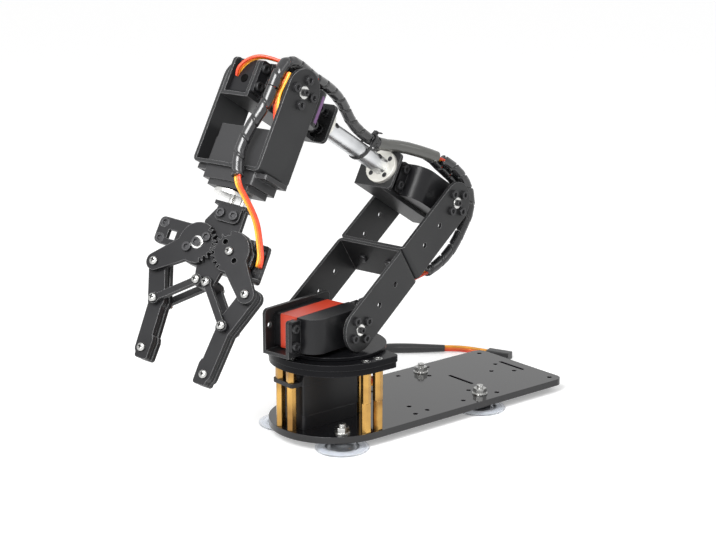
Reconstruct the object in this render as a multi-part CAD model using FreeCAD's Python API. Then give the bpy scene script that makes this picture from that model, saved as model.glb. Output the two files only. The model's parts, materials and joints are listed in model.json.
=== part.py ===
import FreeCAD
import Part
import math
import os

# Desktop six-axis robot arm with a two-finger gripper, standing on suction cups.
# Millimetres. Origin on the base turning axis, on the table plane. +X runs towards
# the round end of the base plate, +Z is up. The pose is the one it rests in.

V = FreeCAD.Vector
X_AXIS = V(1, 0, 0)
Y_AXIS = V(0, 1, 0)
Z_AXIS = V(0, 0, 1)

# Rest pose, in degrees
YAW = 10.18
UPPER_ARM_LIFT = 146.44
FOREARM_LIFT = 31.03
WRIST_LIFT = -60.0
GRIPPER_ROLL = -15.5
LEFT_JAW = 37.6
RIGHT_JAW = 48.8

# Link lengths
SHOULDER_X = 4.06
BRACKET_REACH = 53.0
FORK_REACH = 49.0
FOREARM = 156.0
ROLL_SIDE = 0.5

# Fits
RUN_GAP = 0.05
SLIP_GAP = 0.1
FACE_GAP = 0.3

# Base plate
PLATE_HALF = 38.0
PLATE_REAR = 153.0
PLATE_TOP = 9.0
PLATE_T = 4.0
PLATE_CORNER = 6.0
MOUNT_HOLE = 3.2
MOUNT_HOLE_Y = 31.7
MOUNT_HOLE_X = (-146.5, -101.0)
PLATE_HOLE = 3.0
PLATE_HOLES = ((-138.7, 8.5), (-90.4, 18.0), (-75.0, 29.8), (-47.2, 28.6), (-37.5, 29.3), (-42.9, 17.4))
CENTRE_HOLE_X = -127.0
SLOT_X = (-144.7, -100.6)
SLOT_LENGTH = 22.0
SLOT_WIDTH = 2.4

# Suction cups
CUP_X = (15.5, -91.3)
CUP_Y = 26.9
CUP_RIM_R = 15.5
CUP_RIM_H = 0.9
CUP_NECK_R = 6.0
CUP_HOLLOW = 1.4
STUD_R = 2.0
STUD_ABOVE = 5.6
WASHER_R = 4.6
WASHER_H = 0.8
NUT_AF = 7.0
NUT_H = 3.0
NUT_TURN = 15.0

# Standoffs
POST_AF = 5.0
POST_RING = 34.5
POST_PAIR = 4.3
POST_TURN = 20.0
POST_BITE = 5.0
SCREW_R = 1.5
PAN_R = 2.7
PAN_H = 1.7

# Deck and turntable
DECK_ROOM = 0.5
DECK_T = 3.5
DECK_REAR = 17.5
DECK_STEP = 0.5
BEARING_R = 12.0
RACE_W = 1.2
BALL_R = 1.0
BALL_COUNT = 20
DISC_R = 30.5
DISC_T = 1.8
DISC_GAP = 0.3
HUB_H = 3.2
SERVO_LIFT = 2.74

# Servo case
SERVO_SHORT = 10.0
SERVO_LONG = 30.0
SERVO_HALF = 10.0
SERVO_CORNER = 1.6
COVER_H = 5.0
BAND_H = 12.5
EAR_T = 2.5
EAR_REACH = 7.25
EAR_HALF = 9.0
EAR_HOLE_OUT = 4.5
EAR_HOLE_Y = 5.0
TOP_H = 13.5
TOP_ROUND = 0.65
BOSS_R = 5.8
BOSS_H = 0.6
BASE_COVER = 8.0
BASE_BAND = 18.0
BASE_TOP = 8.5
LABEL_IN = 5.0
LABEL_W = 5.0
LABEL_HALF = 7.7
LABEL_DEEP = 4.0

# Sheet-metal brackets
SHEET = 2.0
STRIP = 25.0
BRACKET_IN = 21.9
BEND = 3.0
WALL_OVER = 3.0
WALL_HOLE_IN = 3.6
WALL_HOLE_UP = 3.3
FLOOR_HOLE_X = 24.0
FLOOR_HOLES_Y = (2.9, -7.25)
HORN_SCREW_R = 7.0
ARM_HOLES = (19.9, 36.75)
ARM_HOLE_R = 1.6
SERVO_FLOOR = -14.5
BEARING_HOLE = 4.0
JOINT_BOLT_Y = 10.0

# Horns
HORN_R = 10.0
HORN_T = 2.4
HORN_HUB_R = 4.2
HORN_NOSE_R = 3.4
NOSE_OUT = 0.4
HEAD_R = 2.5
HEAD_H = 1.8
CENTRE_HEAD_R = 1.9
IDLER_RIM = 2.0
CAP_RIM = 1.5

# Forearm
ELBOW_ROOM = 6.35
WRIST_ROOM = 2.95
PLATE_RIM = 0.5
TUBE_R = 5.2
TUBE_WALL = 1.2
FLANGE_R = 10.0
FLANGE_T = 2.5
FLANGE_HOLE = 5.0
SPIGOT = 12.0
SET_SCREW_OUT = 8.0
SET_SCREW_PROUD = 0.4
SET_SCREW_TILT = 37.0

# Wrist roll servo
ROLL_SHORT = 16.3
ROLL_LONG = 20.0
ROLL_COVER = 8.0
ROLL_BAND = 15.4
ROLL_TOP = 10.0
ROLL_STEP_H = 3.0
ROLL_STEP_IN = 3.3
ROLL_HORN_T = 2.0
SPACER_R = 1.6
SPACER_H = 3.1
SPACER_SIDE = 3.5
SPACER_DROP = 7.6
HORN_PIN_R = 1.0
HORN_PIN_HEAD = 1.7

# Gripper
GEAR_AHEAD = 24.8
GEAR_HALF = 10.0
GEAR_TEETH = 20
GEAR_BODY = 11.0
TOOTH_SPAN = 130.0
BACKLASH = 0.36
LAYER = 3.0
FRONT_Z = -2.4
JAW_ARM = 25.7
LINK_INSET = 7.0
LINK_AHEAD = 18.8
LINK_W = 3.6
LINK_EYE_R = 2.9
NOSE_RIM = 0.3
ARM_ROOT_R = 7.2
ARM_END_R = 4.8
FINGER_T = 9.6
FINGER_LAYERS = 3
FINGER_GROOVE = 0.5
FINGER_R = 4.8
SHANK_R = 4.0
TIP_IN = 8.8
TIP_AHEAD = 45.0
TIP_END = 5.6
PAD_W = 4.8
PAD_BACK = 7.6
PAD_RAMP = 2.6
PAD_ROUND = 1.6
PIVOT_R = 1.5
PIVOT_HEAD_R = 2.3
PIVOT_HEAD_H = 1.6
PIVOT_TAIL = 4.0
FRAME_T = 3.0
FRAME_R = 11.5
TAIL_LEFT = 6.8
TAIL_RIGHT = 9.5
TAIL_SWELL = 13.0
TAIL_HIP = 2.0
TAB_OUT = 24.5
TAB_RIM = 3.0
TAB_HALF = 4.4
TAB_BACK = 2.0
TAB_FRONT = 5.3
WINDOW = 5.0
WINDOW_OUT = 18.0
WINDOW_BACK = 0.7
STUB_SCREW_Y = 9.7
STUB_SCREW_X = 1.3
STUB_RIM = 2.8
STUB_HALF = 5.0
MOUNT_LEFT = 9.0
MOUNT_RIGHT = 9.6
MOUNT_SCREW_BACK = 18.5
MOUNT_SCREW_SIDE = 0.7
MOUNT_SCREW_HALF = 4.0
FLAP_RIM = 3.2
FLAP_END = 4.0
DRIVE_R = 8.2
GEAR_SCREW_OUT = 6.0
LEFT_SCREW_TILT = 140.0
RIGHT_SCREW_TILT = 45.0
GRIP_BAND = 9.5
GRIP_TOP = 3.5

# Cables
WRAP_R = 3.3
LEAD_R = 1.8
CONNECTOR_W = 7.0
CONNECTOR_L = 16.0
CONNECTOR_H = 5.0

UPPER_ARM = 2 * BRACKET_REACH
BRACKET_OUT = BRACKET_IN + SHEET
SERVO_TOP = SERVO_FLOOR + COVER_H + BAND_H + TOP_H
EAR_FROM = SERVO_FLOOR + COVER_H + BAND_H
DECK_UNDER = PLATE_TOP + BASE_COVER + BASE_BAND + BASE_TOP + DECK_ROOM
DECK_TOP = DECK_UNDER + 2 * DECK_T
DISC_UNDER = DECK_TOP + DISC_GAP
DISC_TOP = DISC_UNDER + DISC_T
SHOULDER_Z = DISC_TOP + SERVO_LIFT + SERVO_HALF
EAR_END = SERVO_LONG + EAR_REACH
LABEL_OUT = SERVO_LONG - LABEL_IN
ELBOW_PLATE = EAR_END + ELBOW_ROOM + HEAD_H + SHEET
WRIST_PLATE = EAR_END + WRIST_ROOM + HEAD_H + SHEET
MOUNT_SEAT = FORK_REACH + ROLL_TOP + BOSS_H + FACE_GAP + ROLL_HORN_T + SPACER_H
GEAR_AT = MOUNT_SEAT + GEAR_AHEAD

# Rear lead, from the base servo over the far edge of the plate and along the table
REAR_SLEEVE = [
    V(-6, -SERVO_HALF, 17), V(-6, -19, 17), V(-9, -29, 18.4), V(-15.3, -39.4, 19.5), V(-25, -50, 17.8),
    V(-37.2, -61, 13.6), V(-50.2, -72, 8.8), V(-65, -83, 5.0), V(-84, -92.5, 3.6), V(-101, -97.3, 3.4),
    V(-118, -92.8, 3.4), V(-132.5, -81, 3.4), V(-148.5, -67.4, 3.4),
]
REAR_CORES = [
    V(-148.5, -67.4, 3.4), V(-154.6, -62.2, 3.4), V(-159.7, -56.8, 3.0), V(-163.8, -51.1, 2.5),
    V(-166.6, -44.1, 2.5),
]

# Harness stretches, each in the frame of the link that carries it
SHOULDER_HARNESS = [
    V(9.6, -6, 3.97), V(16.5, -6, 8.55), V(25.5, 0, 11.2), V(36.6, 7.4, 13.3), V(47, 10, 16.4),
]
ARM_HARNESS = [
    V(47, 10, 16.4), V(58.96, 12.99, 19.97), V(UPPER_ARM - 34, 15.5, 25.2), V(UPPER_ARM - 20, 17, 27.6),
    V(UPPER_ARM - 7, 17.5, 26.2), V(UPPER_ARM + 2, 17.5, 22.8),
]
ELBOW_HARNESS = [
    V(-21.46, 17.5, -7.88), V(-22.27, 17.5, 1.99), V(-17, 17.3, 12.6), V(-2, 16.6, 18.6),
    V(14.2, 15.5, 18.9), V(30, 12.5, 16.8), V(44.5, 6.5, 15.2), V(54, 2, 12.4), V(62, -1, 9.6),
    V(70, -2.2, 9.2),
]
WRIST_HARNESS = [
    V(70.1, -2.21, 9.195), V(79, -3.545, 8.75), V(91, -2.5, 11.6), V(103.5, 1.5, 16.6), V(117, 5.5, 18.2),
    V(130, 9, 17.4), V(143, 12.5, 16.4), V(FOREARM, 15.5, 15.8), V(FOREARM + 12.3, 17.5, 13.4),
    V(FOREARM + 17.7, 18, 4.7), V(FOREARM + 17.12, 18, -5.2),
]
WRIST_WRAP = [
    V(5, 18, 17.2), V(13, 18, 16.88), V(26, 13.2, 17.2), V(36, 11.2, 17.2), V(45, 11.6, 17),
    V(FORK_REACH + 5.4, 15.6, 16.6),
]
GRIPPER_LEAD = [
    V(FORK_REACH + 5.4, 15.6, 16.6), V(FORK_REACH + 9.16, 17.2, 16.44), V(FORK_REACH + 14, 19, 9.5),
    V(FORK_REACH + 18.5, 20.5, 3.5), V(FORK_REACH + 22.5, 21.6, -1.5), V(GEAR_AT - 13.8, 22.4, -5.2),
    V(GEAR_AT - 7, 23.2, -8.2), V(GEAR_AT + 2.4, 23.27, -10.86), V(GEAR_AT + 2.4, 22.42, -13.94),
]

BASE = FreeCAD.Placement()
TURN = FreeCAD.Placement(V(), FreeCAD.Rotation(Z_AXIS, YAW))
SHOULDER_SEAT = TURN * FreeCAD.Placement(V(SHOULDER_X, 0, SHOULDER_Z), FreeCAD.Rotation())
UPPER = SHOULDER_SEAT * FreeCAD.Placement(V(), FreeCAD.Rotation(Y_AXIS, -UPPER_ARM_LIFT))
ELBOW_TURN = FreeCAD.Rotation(Y_AXIS, UPPER_ARM_LIFT - FOREARM_LIFT)
ELBOW = UPPER * FreeCAD.Placement(V(UPPER_ARM, 0, 0), ELBOW_TURN)
WRIST_SEAT = ELBOW * FreeCAD.Placement(V(FOREARM, 0, 0), FreeCAD.Rotation())
WRIST = WRIST_SEAT * FreeCAD.Placement(V(), FreeCAD.Rotation(Y_AXIS, FOREARM_LIFT - WRIST_LIFT))
GRIP = WRIST * FreeCAD.Placement(V(0, ROLL_SIDE, 0), FreeCAD.Rotation(X_AXIS, GRIPPER_ROLL))


def box(x0, x1, y0, y1, z0, z1):
    low = V(min(x0, x1), min(y0, y1), min(z0, z1))
    return Part.makeBox(abs(x1 - x0), abs(y1 - y0), abs(z1 - z0), low)


def rod(radius, start, along, length):
    return Part.makeCylinder(radius, length, start, along)


def ring(outer, inner, start, along, length):
    return rod(outer, start, along, length).cut(rod(inner, start, along, length))


def hexagon(across, start, height, turn=0.0):
    radius = across / math.sqrt(3)
    corners = []
    for k in range(7):
        a = math.radians(60 * k + turn)
        corners.append(start + V(radius * math.cos(a), radius * math.sin(a), 0))
    return Part.Face(Part.makePolygon(corners)).extrude(V(0, 0, height))


def joined(shapes):
    first, rest = shapes[0], shapes[1:]
    return first.multiFuse(rest).removeSplitter() if rest else first


def drilled(shape, tools):
    return shape.cut(Part.makeCompound(tools))


def softened(shape, axis, radius):
    edges = []
    for edge in shape.Edges:
        straight = edge.Curve.TypeId == "Part::GeomLine"
        if straight and abs(edge.Curve.Direction.dot(axis)) > 0.999:
            edges.append(edge)
    return shape.makeFillet(radius, edges)


def pan_screw(head_radius, head_height, shank, length):
    head = rod(head_radius, V(), Z_AXIS, head_height)
    crown = head.makeFillet(head_height * 0.45, [head.Edges[0]])
    return joined([crown, rod(shank, V(0, 0, -length), Z_AXIS, length)])


def cap_screw(head_radius, head_height, shank, length):
    head = rod(head_radius, V(), Z_AXIS, head_height)
    socket = hexagon(head_radius, V(0, 0, head_height * 0.4), head_height)
    return joined([head.cut(socket), rod(shank, V(0, 0, -length), Z_AXIS, length)])


def at(shape, origin, along=Z_AXIS):
    copy = shape.copy()
    copy.Placement = FreeCAD.Placement(origin, FreeCAD.Rotation(Z_AXIS, along))
    return copy


def slab(outline, z0, height):
    face = Part.Face(Part.Wire(outline))
    face.translate(V(0, 0, z0))
    return face.extrude(V(0, 0, height))


def line(a, b):
    return Part.LineSegment(a, b).toShape()


def bend(a, b, c):
    return Part.Arc(a, b, c).toShape()


def tombstone(half, rear, corner):
    inner = corner * (1 - math.sqrt(0.5))
    left = V(-rear + corner, half, 0)
    right = V(-rear + corner, -half, 0)
    edges = [line(V(0, half, 0), left)]
    edges.append(bend(left, V(-rear + inner, half - inner, 0), V(-rear, half - corner, 0)))
    edges.append(line(V(-rear, half - corner, 0), V(-rear, corner - half, 0)))
    edges.append(bend(V(-rear, corner - half, 0), V(-rear + inner, inner - half, 0), right))
    edges.append(line(right, V(0, -half, 0)))
    edges.append(bend(V(0, -half, 0), V(half, 0, 0), V(0, half, 0)))
    return edges


def capsule(start, end, radius, z0, height):
    run = end - start
    side = V(-run.y, run.x, 0).normalize() * radius
    ahead = V(run).normalize() * radius
    edges = [line(start + side, end + side), bend(end + side, end + ahead, end - side)]
    edges += [line(end - side, start - side), bend(start - side, start - ahead, start + side)]
    return slab(edges, z0, height)


def cable(points, radius, name):
    edges = []
    last = points[0]
    radii = []
    for k in range(1, len(points) - 1):
        back = points[k - 1] - points[k]
        ahead = points[k + 1] - points[k]
        short = min(back.Length, ahead.Length)
        turn = math.pi - back.getAngle(ahead)
        trim = 0.45 * short
        radii.append(trim / math.tan(turn / 2))
        u = V(back).normalize()
        w = V(ahead).normalize()
        mid_dir = (u + w).normalize()
        reach = radii[-1] / math.cos(turn / 2) - radii[-1]
        start, stop = points[k] + u * trim, points[k] + w * trim
        edges.append(line(last, start))
        edges.append(bend(start, points[k] + mid_dir * reach, stop))
        last = stop
    edges.append(line(last, points[-1]))
    path = Part.Wire(edges)
    ends = Part.Wire(Part.makeCircle(radius, points[0], points[1] - points[0]))
    tube = path.makePipeShell([ends], True, False)
    ratio = tube.Volume / (math.pi * radius**2 * path.Length)
    print(name, "length %.0f, least bend %.1f, volume ratio %.3f" % (path.Length, min(radii), ratio))
    return tube


def mirrored_y(spots):
    return [V(x, s * y, 0) for x, y in spots for s in (1, -1)]


def post_spots():
    spots = [V(SERVO_LONG + EAR_HOLE_OUT, s * EAR_HOLE_Y, 0) for s in (1, -1)]
    spots += [V(-SERVO_SHORT - EAR_HOLE_OUT, s * EAR_HOLE_Y, 0) for s in (1, -1)]
    spots += [V(t * POST_PAIR, s * POST_RING, 0) for t in (1, -1) for s in (1, -1)]
    return spots


def base_plate():
    under = PLATE_TOP - PLATE_T
    plate = slab(tombstone(PLATE_HALF, PLATE_REAR, PLATE_CORNER), under, PLATE_T)
    start = V(0, 0, under)
    holes = [rod(SCREW_R + SLIP_GAP, p + start, Z_AXIS, PLATE_T) for p in post_spots()]
    holes += [rod(PAN_R + SLIP_GAP, p + start, Z_AXIS, PAN_H) for p in post_spots()]
    spots = mirrored_y(PLATE_HOLES) + [V(CENTRE_HOLE_X, 0, 0)]
    holes += [rod(PLATE_HOLE / 2, p + start, Z_AXIS, PLATE_T) for p in spots]
    corners = mirrored_y([(x, MOUNT_HOLE_Y) for x in MOUNT_HOLE_X])
    holes += [rod(MOUNT_HOLE / 2, p + start, Z_AXIS, PLATE_T) for p in corners]
    holes += [rod(STUD_R + SLIP_GAP, p + start, Z_AXIS, PLATE_T) for p in cup_spots()]
    half = (SLOT_LENGTH - SLOT_WIDTH) / 2
    for x in SLOT_X:
        holes.append(capsule(V(x, -half, 0), V(x, half, 0), SLOT_WIDTH / 2, under, PLATE_T))
    return drilled(plate, holes)


def cup_spots():
    return mirrored_y([(x, CUP_Y) for x in CUP_X])


def suction_cup():
    top = PLATE_TOP - PLATE_T
    bore_floor = top / 2
    stem = STUD_R + RUN_GAP
    lip = CUP_RIM_R - 2 * CUP_RIM_H
    outside = [line(V(CUP_RIM_R, 0, 0), V(CUP_RIM_R, 0, CUP_RIM_H))]
    shoulder = V(CUP_NECK_R * 1.5, 0, top * 0.55)
    outside.append(bend(V(CUP_RIM_R, 0, CUP_RIM_H), shoulder, V(CUP_NECK_R, 0, top)))
    outside.append(line(V(CUP_NECK_R, 0, top), V(stem, 0, top)))
    outside.append(line(V(stem, 0, top), V(stem, 0, bore_floor)))
    outside.append(line(V(stem, 0, bore_floor), V(0, 0, bore_floor)))
    outside.append(line(V(0, 0, bore_floor), V(0, 0, CUP_HOLLOW)))
    outside.append(bend(V(0, 0, CUP_HOLLOW), V(lip * 0.6, 0, CUP_HOLLOW * 0.7), V(lip, 0, 0)))
    outside.append(line(V(lip, 0, 0), V(CUP_RIM_R, 0, 0)))
    return Part.Face(Part.Wire(outside)).revolve(V(), Z_AXIS, 360)


def cup_stud():
    foot = (PLATE_TOP - PLATE_T) / 2
    stud = rod(STUD_R, V(0, 0, foot), Z_AXIS, PLATE_TOP + STUD_ABOVE - foot)
    washer = rod(WASHER_R, V(0, 0, PLATE_TOP), Z_AXIS, WASHER_H)
    nut = hexagon(NUT_AF, V(0, 0, PLATE_TOP + WASHER_H), NUT_H, NUT_TURN)
    return joined([stud, washer, nut])


def base_parts():
    parts = {"base_plate": base_plate()}
    parts["suction_cups"] = Part.makeCompound([at(suction_cup(), p) for p in cup_spots()])
    parts["cup_studs"] = Part.makeCompound([at(cup_stud(), p) for p in cup_spots()])
    lower, upper, screws, deck_screws = [], [], [], []
    servo_floor = PLATE_TOP
    ear_low = servo_floor + BASE_COVER + BASE_BAND
    middle = (PLATE_TOP + DECK_UNDER) / 2
    for k, p in enumerate(post_spots()):
        under_ear = k < 4
        low_end = ear_low if under_ear else middle
        high_start = ear_low + EAR_T if under_ear else middle
        bore = rod(SCREW_R + RUN_GAP, p, Z_AXIS, DECK_UNDER)
        lower.append(hexagon(POST_AF, p + V(0, 0, PLATE_TOP), low_end - PLATE_TOP).cut(bore))
        post = hexagon(POST_AF, p + V(0, 0, high_start), DECK_UNDER - high_start, POST_TURN)
        upper.append(post.cut(bore))
        screw = cap_screw(PAN_R, PAN_H, SCREW_R, PLATE_T - PAN_H + POST_BITE)
        screws.append(at(screw, p + V(0, 0, PLATE_TOP - PLATE_T + PAN_H), -Z_AXIS))
        head = cap_screw(PAN_R, PAN_H, SCREW_R, 2 * DECK_T - PAN_H + POST_BITE)
        deck_screws.append(at(head, p + V(0, 0, DECK_TOP - PAN_H), Z_AXIS))
    parts["standoffs"] = Part.makeCompound(lower + upper)
    parts["standoff_screws"] = Part.makeCompound(screws + deck_screws)
    small = tombstone(PLATE_HALF - DECK_STEP, DECK_REAR - DECK_STEP, PLATE_CORNER / 2)
    holes = [rod(SCREW_R + SLIP_GAP, p, Z_AXIS, DECK_TOP) for p in post_spots()]
    holes.append(rod(BEARING_R - RACE_W, V(), Z_AXIS, DECK_TOP))
    layers = [drilled(slab(small, DECK_UNDER, DECK_T), holes)]
    full = tombstone(PLATE_HALF, DECK_REAR, PLATE_CORNER / 2)
    sunk = DECK_TOP - PAN_H
    holes = [rod(SCREW_R + SLIP_GAP, p, Z_AXIS, sunk) for p in post_spots()]
    holes += [rod(PAN_R + SLIP_GAP, p + V(0, 0, sunk), Z_AXIS, PAN_H) for p in post_spots()]
    holes.append(rod(BEARING_R + RUN_GAP, V(), Z_AXIS, DECK_TOP))
    layers.append(drilled(slab(full, DECK_UNDER + DECK_T, DECK_T), holes))
    parts["deck_plates"] = Part.makeCompound(layers)
    race_low = DECK_UNDER + DECK_T
    inner = BEARING_R - RACE_W
    bearing = [ring(BEARING_R, inner, V(0, 0, race_low), Z_AXIS, DECK_T)]
    for k in range(BALL_COUNT):
        a = 2 * math.pi * k / BALL_COUNT
        r = inner - BALL_R - RUN_GAP
        bearing.append(Part.makeSphere(BALL_R, V(r * math.cos(a), r * math.sin(a), race_low + DECK_T / 2)))
    parts["bearing_outer"] = Part.makeCompound(bearing)
    upright = FreeCAD.Placement(V(0, 0, servo_floor), FreeCAD.Rotation(X_AXIS, 90))
    parts["base_servo"] = Part.makeCompound(servo(1, 0.0, BASE_COVER, BASE_BAND, BASE_TOP))
    parts["base_servo"].Placement = upright
    parts.update(rear_lead())
    return parts


def rear_lead():
    end = REAR_CORES[-1]
    connector = box(0, CONNECTOR_L, -CONNECTOR_W / 2, CONNECTOR_W / 2, -end.z, CONNECTOR_H - end.z)
    connector = softened(connector, X_AXIS, SERVO_CORNER / 2)
    connector.Placement = FreeCAD.Placement(end, FreeCAD.Rotation(X_AXIS, end - REAR_CORES[-2]))
    return {
        "rear_sleeve": cable(REAR_SLEEVE, WRAP_R, "rear sleeve"),
        "rear_cores": cable(REAR_CORES, LEAD_R, "rear cores"),
        "rear_connector": connector,
    }


def gear_case(x0, x1, low, top, stepped):
    half = SERVO_HALF
    hand = 1 if x1 > x0 else -1
    if stepped:
        ledge = top - ROLL_STEP_H
        inset = ROLL_STEP_IN * hand
        lower = softened(box(x0, x1, low, ledge, -half, half), Y_AXIS, SERVO_CORNER)
        upper = box(x0 + inset, x1 - inset, ledge, top, SERVO_CORNER - half, half - SERVO_CORNER)
        return joined([lower, softened(upper, Y_AXIS, SERVO_CORNER)])
    radius = TOP_ROUND * (top - low)
    inner = radius * (1 - math.sqrt(0.5))
    shoulder = V(x1, top - radius, -half)
    crown = V(x1 - radius * hand, top, -half)
    edges = [line(V(x0, low, -half), V(x1, low, -half)), line(V(x1, low, -half), shoulder)]
    edges.append(bend(shoulder, V(x1 - inner * hand, top - inner, -half), crown))
    edges += [line(crown, V(x0, top, -half)), line(V(x0, top, -half), V(x0, low, -half))]
    return Part.Face(Part.Wire(edges)).extrude(V(0, 0, 2 * half))


def servo(
    side,
    floor,
    cover=COVER_H,
    band=BAND_H,
    top=TOP_H,
    short=SERVO_SHORT,
    long=SERVO_LONG,
    stepped=False,
):
    half = SERVO_HALF
    x0, x1 = -short * side, long * side
    levels = [floor, floor + cover, floor + cover + band, floor + cover + band + top]
    base = softened(box(x0, x1, levels[0], levels[1], -half, half), Y_AXIS, SERVO_CORNER)
    middle = softened(box(x0, x1, levels[1], levels[2], -half, half), Y_AXIS, SERVO_CORNER / 2)
    case = gear_case(x0, x1, levels[2], levels[3], stepped)
    ear_top = levels[2] + EAR_T
    reach = EAR_REACH * side
    ears = box(x0 - reach, x1 + reach, levels[2], ear_top, -EAR_HALF, EAR_HALF)
    ears = softened(ears, Y_AXIS, SERVO_CORNER)
    boss = rod(BOSS_R, V(0, levels[3], 0), Y_AXIS, BOSS_H)
    holes = []
    for x in (x0 - EAR_HOLE_OUT * side, x1 + EAR_HOLE_OUT * side):
        for z in (EAR_HOLE_Y, -EAR_HOLE_Y):
            holes.append(rod(SCREW_R + SLIP_GAP, V(x, levels[2], z), Y_AXIS, EAR_T))
    return [base, middle, drilled(joined([case, ears, boss]), holes)]


def shoulder_servo():
    cover, band, case = servo(1, SERVO_FLOOR)
    return {"shoulder_servo_case": Part.makeCompound([cover, case]), "shoulder_servo_band": band}


def wrist_servo():
    cover, band, case = servo(-1, SERVO_FLOOR)
    near, far = LABEL_OUT - LABEL_W / 2, LABEL_OUT + LABEL_W / 2
    patch = box(-near, -far, SERVO_TOP - LABEL_DEEP, SERVO_TOP, -LABEL_HALF, LABEL_HALF)
    inlay = case.common(patch)
    return {"wrist_servo_case": Part.makeCompound([cover, band, case.cut(patch)]), "wrist_servo_band": inlay}


def ear_screws(side, face, length, short=SERVO_SHORT, long=SERVO_LONG):
    screws = []
    for x in (-(short + EAR_HOLE_OUT) * side, (long + EAR_HOLE_OUT) * side):
        for z in (EAR_HOLE_Y, -EAR_HOLE_Y):
            screws.append(at(cap_screw(HEAD_R, HEAD_H, SCREW_R, length), V(x, face, z), Y_AXIS))
    return screws


def servo_tabs(side, floor_z):
    tabs = []
    near, far = EAR_FROM, EAR_FROM - SHEET
    gap = SLIP_GAP
    for x0, hand in ((-SERVO_SHORT, -1), (SERVO_LONG, 1)):
        x1 = x0 + EAR_REACH * hand
        hole_x = (x0 + EAR_HOLE_OUT * hand) * side
        x0 += gap * hand
        tab = box(x0 * side, x1 * side, far, near, floor_z, EAR_HALF)
        middle = (x0 + x1) / 2 * side
        edges = [e for e in tab.Edges if abs(e.CenterOfMass.z - EAR_HALF) < 0.01]
        edges = [e for e in edges if abs(e.CenterOfMass.x - middle) > 1 and e.Length < SHEET + 0.01]
        tab = tab.makeFillet(SERVO_CORNER, edges)
        holes = [rod(SCREW_R + SLIP_GAP, V(hole_x, far, z), Y_AXIS, SHEET) for z in (EAR_HOLE_Y, -EAR_HOLE_Y)]
        tabs.append(drilled(tab, holes))
    return tabs


def servo_bracket(side, under, plate_at=0.0):
    floor_z = -under
    front = (plate_at or EAR_END) * side
    wall_top = SERVO_HALF if plate_at else SERVO_HALF + WALL_OVER
    rear = -(SERVO_SHORT + EAR_REACH) * side
    back = SERVO_FLOOR - SHEET
    floor = box(rear, front, back, EAR_FROM, floor_z, floor_z - SHEET)
    wall = box(rear, front, back, SERVO_FLOOR, floor_z - SHEET, wall_top)
    tops = [e for e in wall.Edges if abs(e.CenterOfMass.z - wall_top) < 0.01 and e.Length < SHEET + 0.01]
    pieces = [floor, wall.makeFillet(BEND, tops)] + servo_tabs(side, floor_z)
    tools = [rod(SCREW_R + SLIP_GAP, V(0, back, 0), Y_AXIS, SHEET)]
    if plate_at:
        inner = front - SHEET * side
        rim = FLANGE_R + PLATE_RIM
        plate = box(inner, front, back, rim, floor_z - SHEET, rim)
        rims = [e for e in plate.Edges if abs(e.Length - SHEET) < 0.01]
        rims = [e for e in rims if e.CenterOfMass.z > 0 or e.CenterOfMass.y > 0]
        pieces.append(plate.makeFillet(BEND, rims))
        for spot in flange_spots():
            tools.append(rod(SCREW_R + SLIP_GAP, spot + V(inner, 0, 0), X_AXIS * side, SHEET))
    else:
        end_hole = V(front - WALL_HOLE_IN * side, back, WALL_HOLE_UP)
        tools.append(rod(SCREW_R + SLIP_GAP, end_hole, Y_AXIS, SHEET))
        for x in (0.0, FLOOR_HOLE_X * side):
            for y in FLOOR_HOLES_Y:
                tools.append(rod(SCREW_R + SLIP_GAP, V(x, y, floor_z - SHEET), Z_AXIS, SHEET))
    return drilled(joined(pieces), tools)


def u_bracket(reach, window=False):
    half = STRIP / 2
    arms = []
    for s in (1, -1):
        inner, outer = BRACKET_IN * s, BRACKET_OUT * s
        strip = box(0, reach, inner, outer, -half, half)
        end = rod(half, V(0, min(inner, outer), 0), Y_AXIS, SHEET)
        arms += [strip, end]
    web = box(reach - SHEET, reach, -BRACKET_OUT, BRACKET_OUT, -half, half)
    body = joined(arms + [web])
    corners = []
    for edge in body.Edges:
        c = edge.CenterOfMass
        along_z = abs(edge.Length - STRIP) < 0.01
        if along_z and abs(c.x - reach) < 0.01 and abs(abs(c.y) - BRACKET_OUT) < 0.01:
            corners.append(edge)
    body = body.makeFillet(BEND, corners)
    tools = [rod(HORN_NOSE_R + SLIP_GAP, V(0, BRACKET_IN, 0), Y_AXIS, SHEET)]
    tools.append(rod(BEARING_HOLE, V(0, -BRACKET_OUT, 0), Y_AXIS, SHEET))
    for spot in horn_spots():
        tools.append(rod(SCREW_R + SLIP_GAP, spot + V(0, BRACKET_IN, 0), Y_AXIS, SHEET))
    if window:
        width = SERVO_HALF + SLIP_GAP
        y0 = ROLL_SIDE - ROLL_SHORT - SLIP_GAP
        y1 = ROLL_SIDE + ROLL_LONG + SLIP_GAP
        tools.append(box(reach - SHEET, reach, y0, y1, -width, width))
    else:
        for x in ARM_HOLES:
            tools.append(rod(ARM_HOLE_R, V(x, -BRACKET_OUT, 0), Y_AXIS, 2 * BRACKET_OUT))
        for y in (JOINT_BOLT_Y, -JOINT_BOLT_Y):
            tools.append(rod(SCREW_R + SLIP_GAP, V(reach - SHEET, y, 0), X_AXIS, SHEET))
    return drilled(body, tools)


def horn_spots():
    r = HORN_SCREW_R
    return [V(r, 0, 0), V(-r, 0, 0), V(0, 0, r), V(0, 0, -r)]


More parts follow.
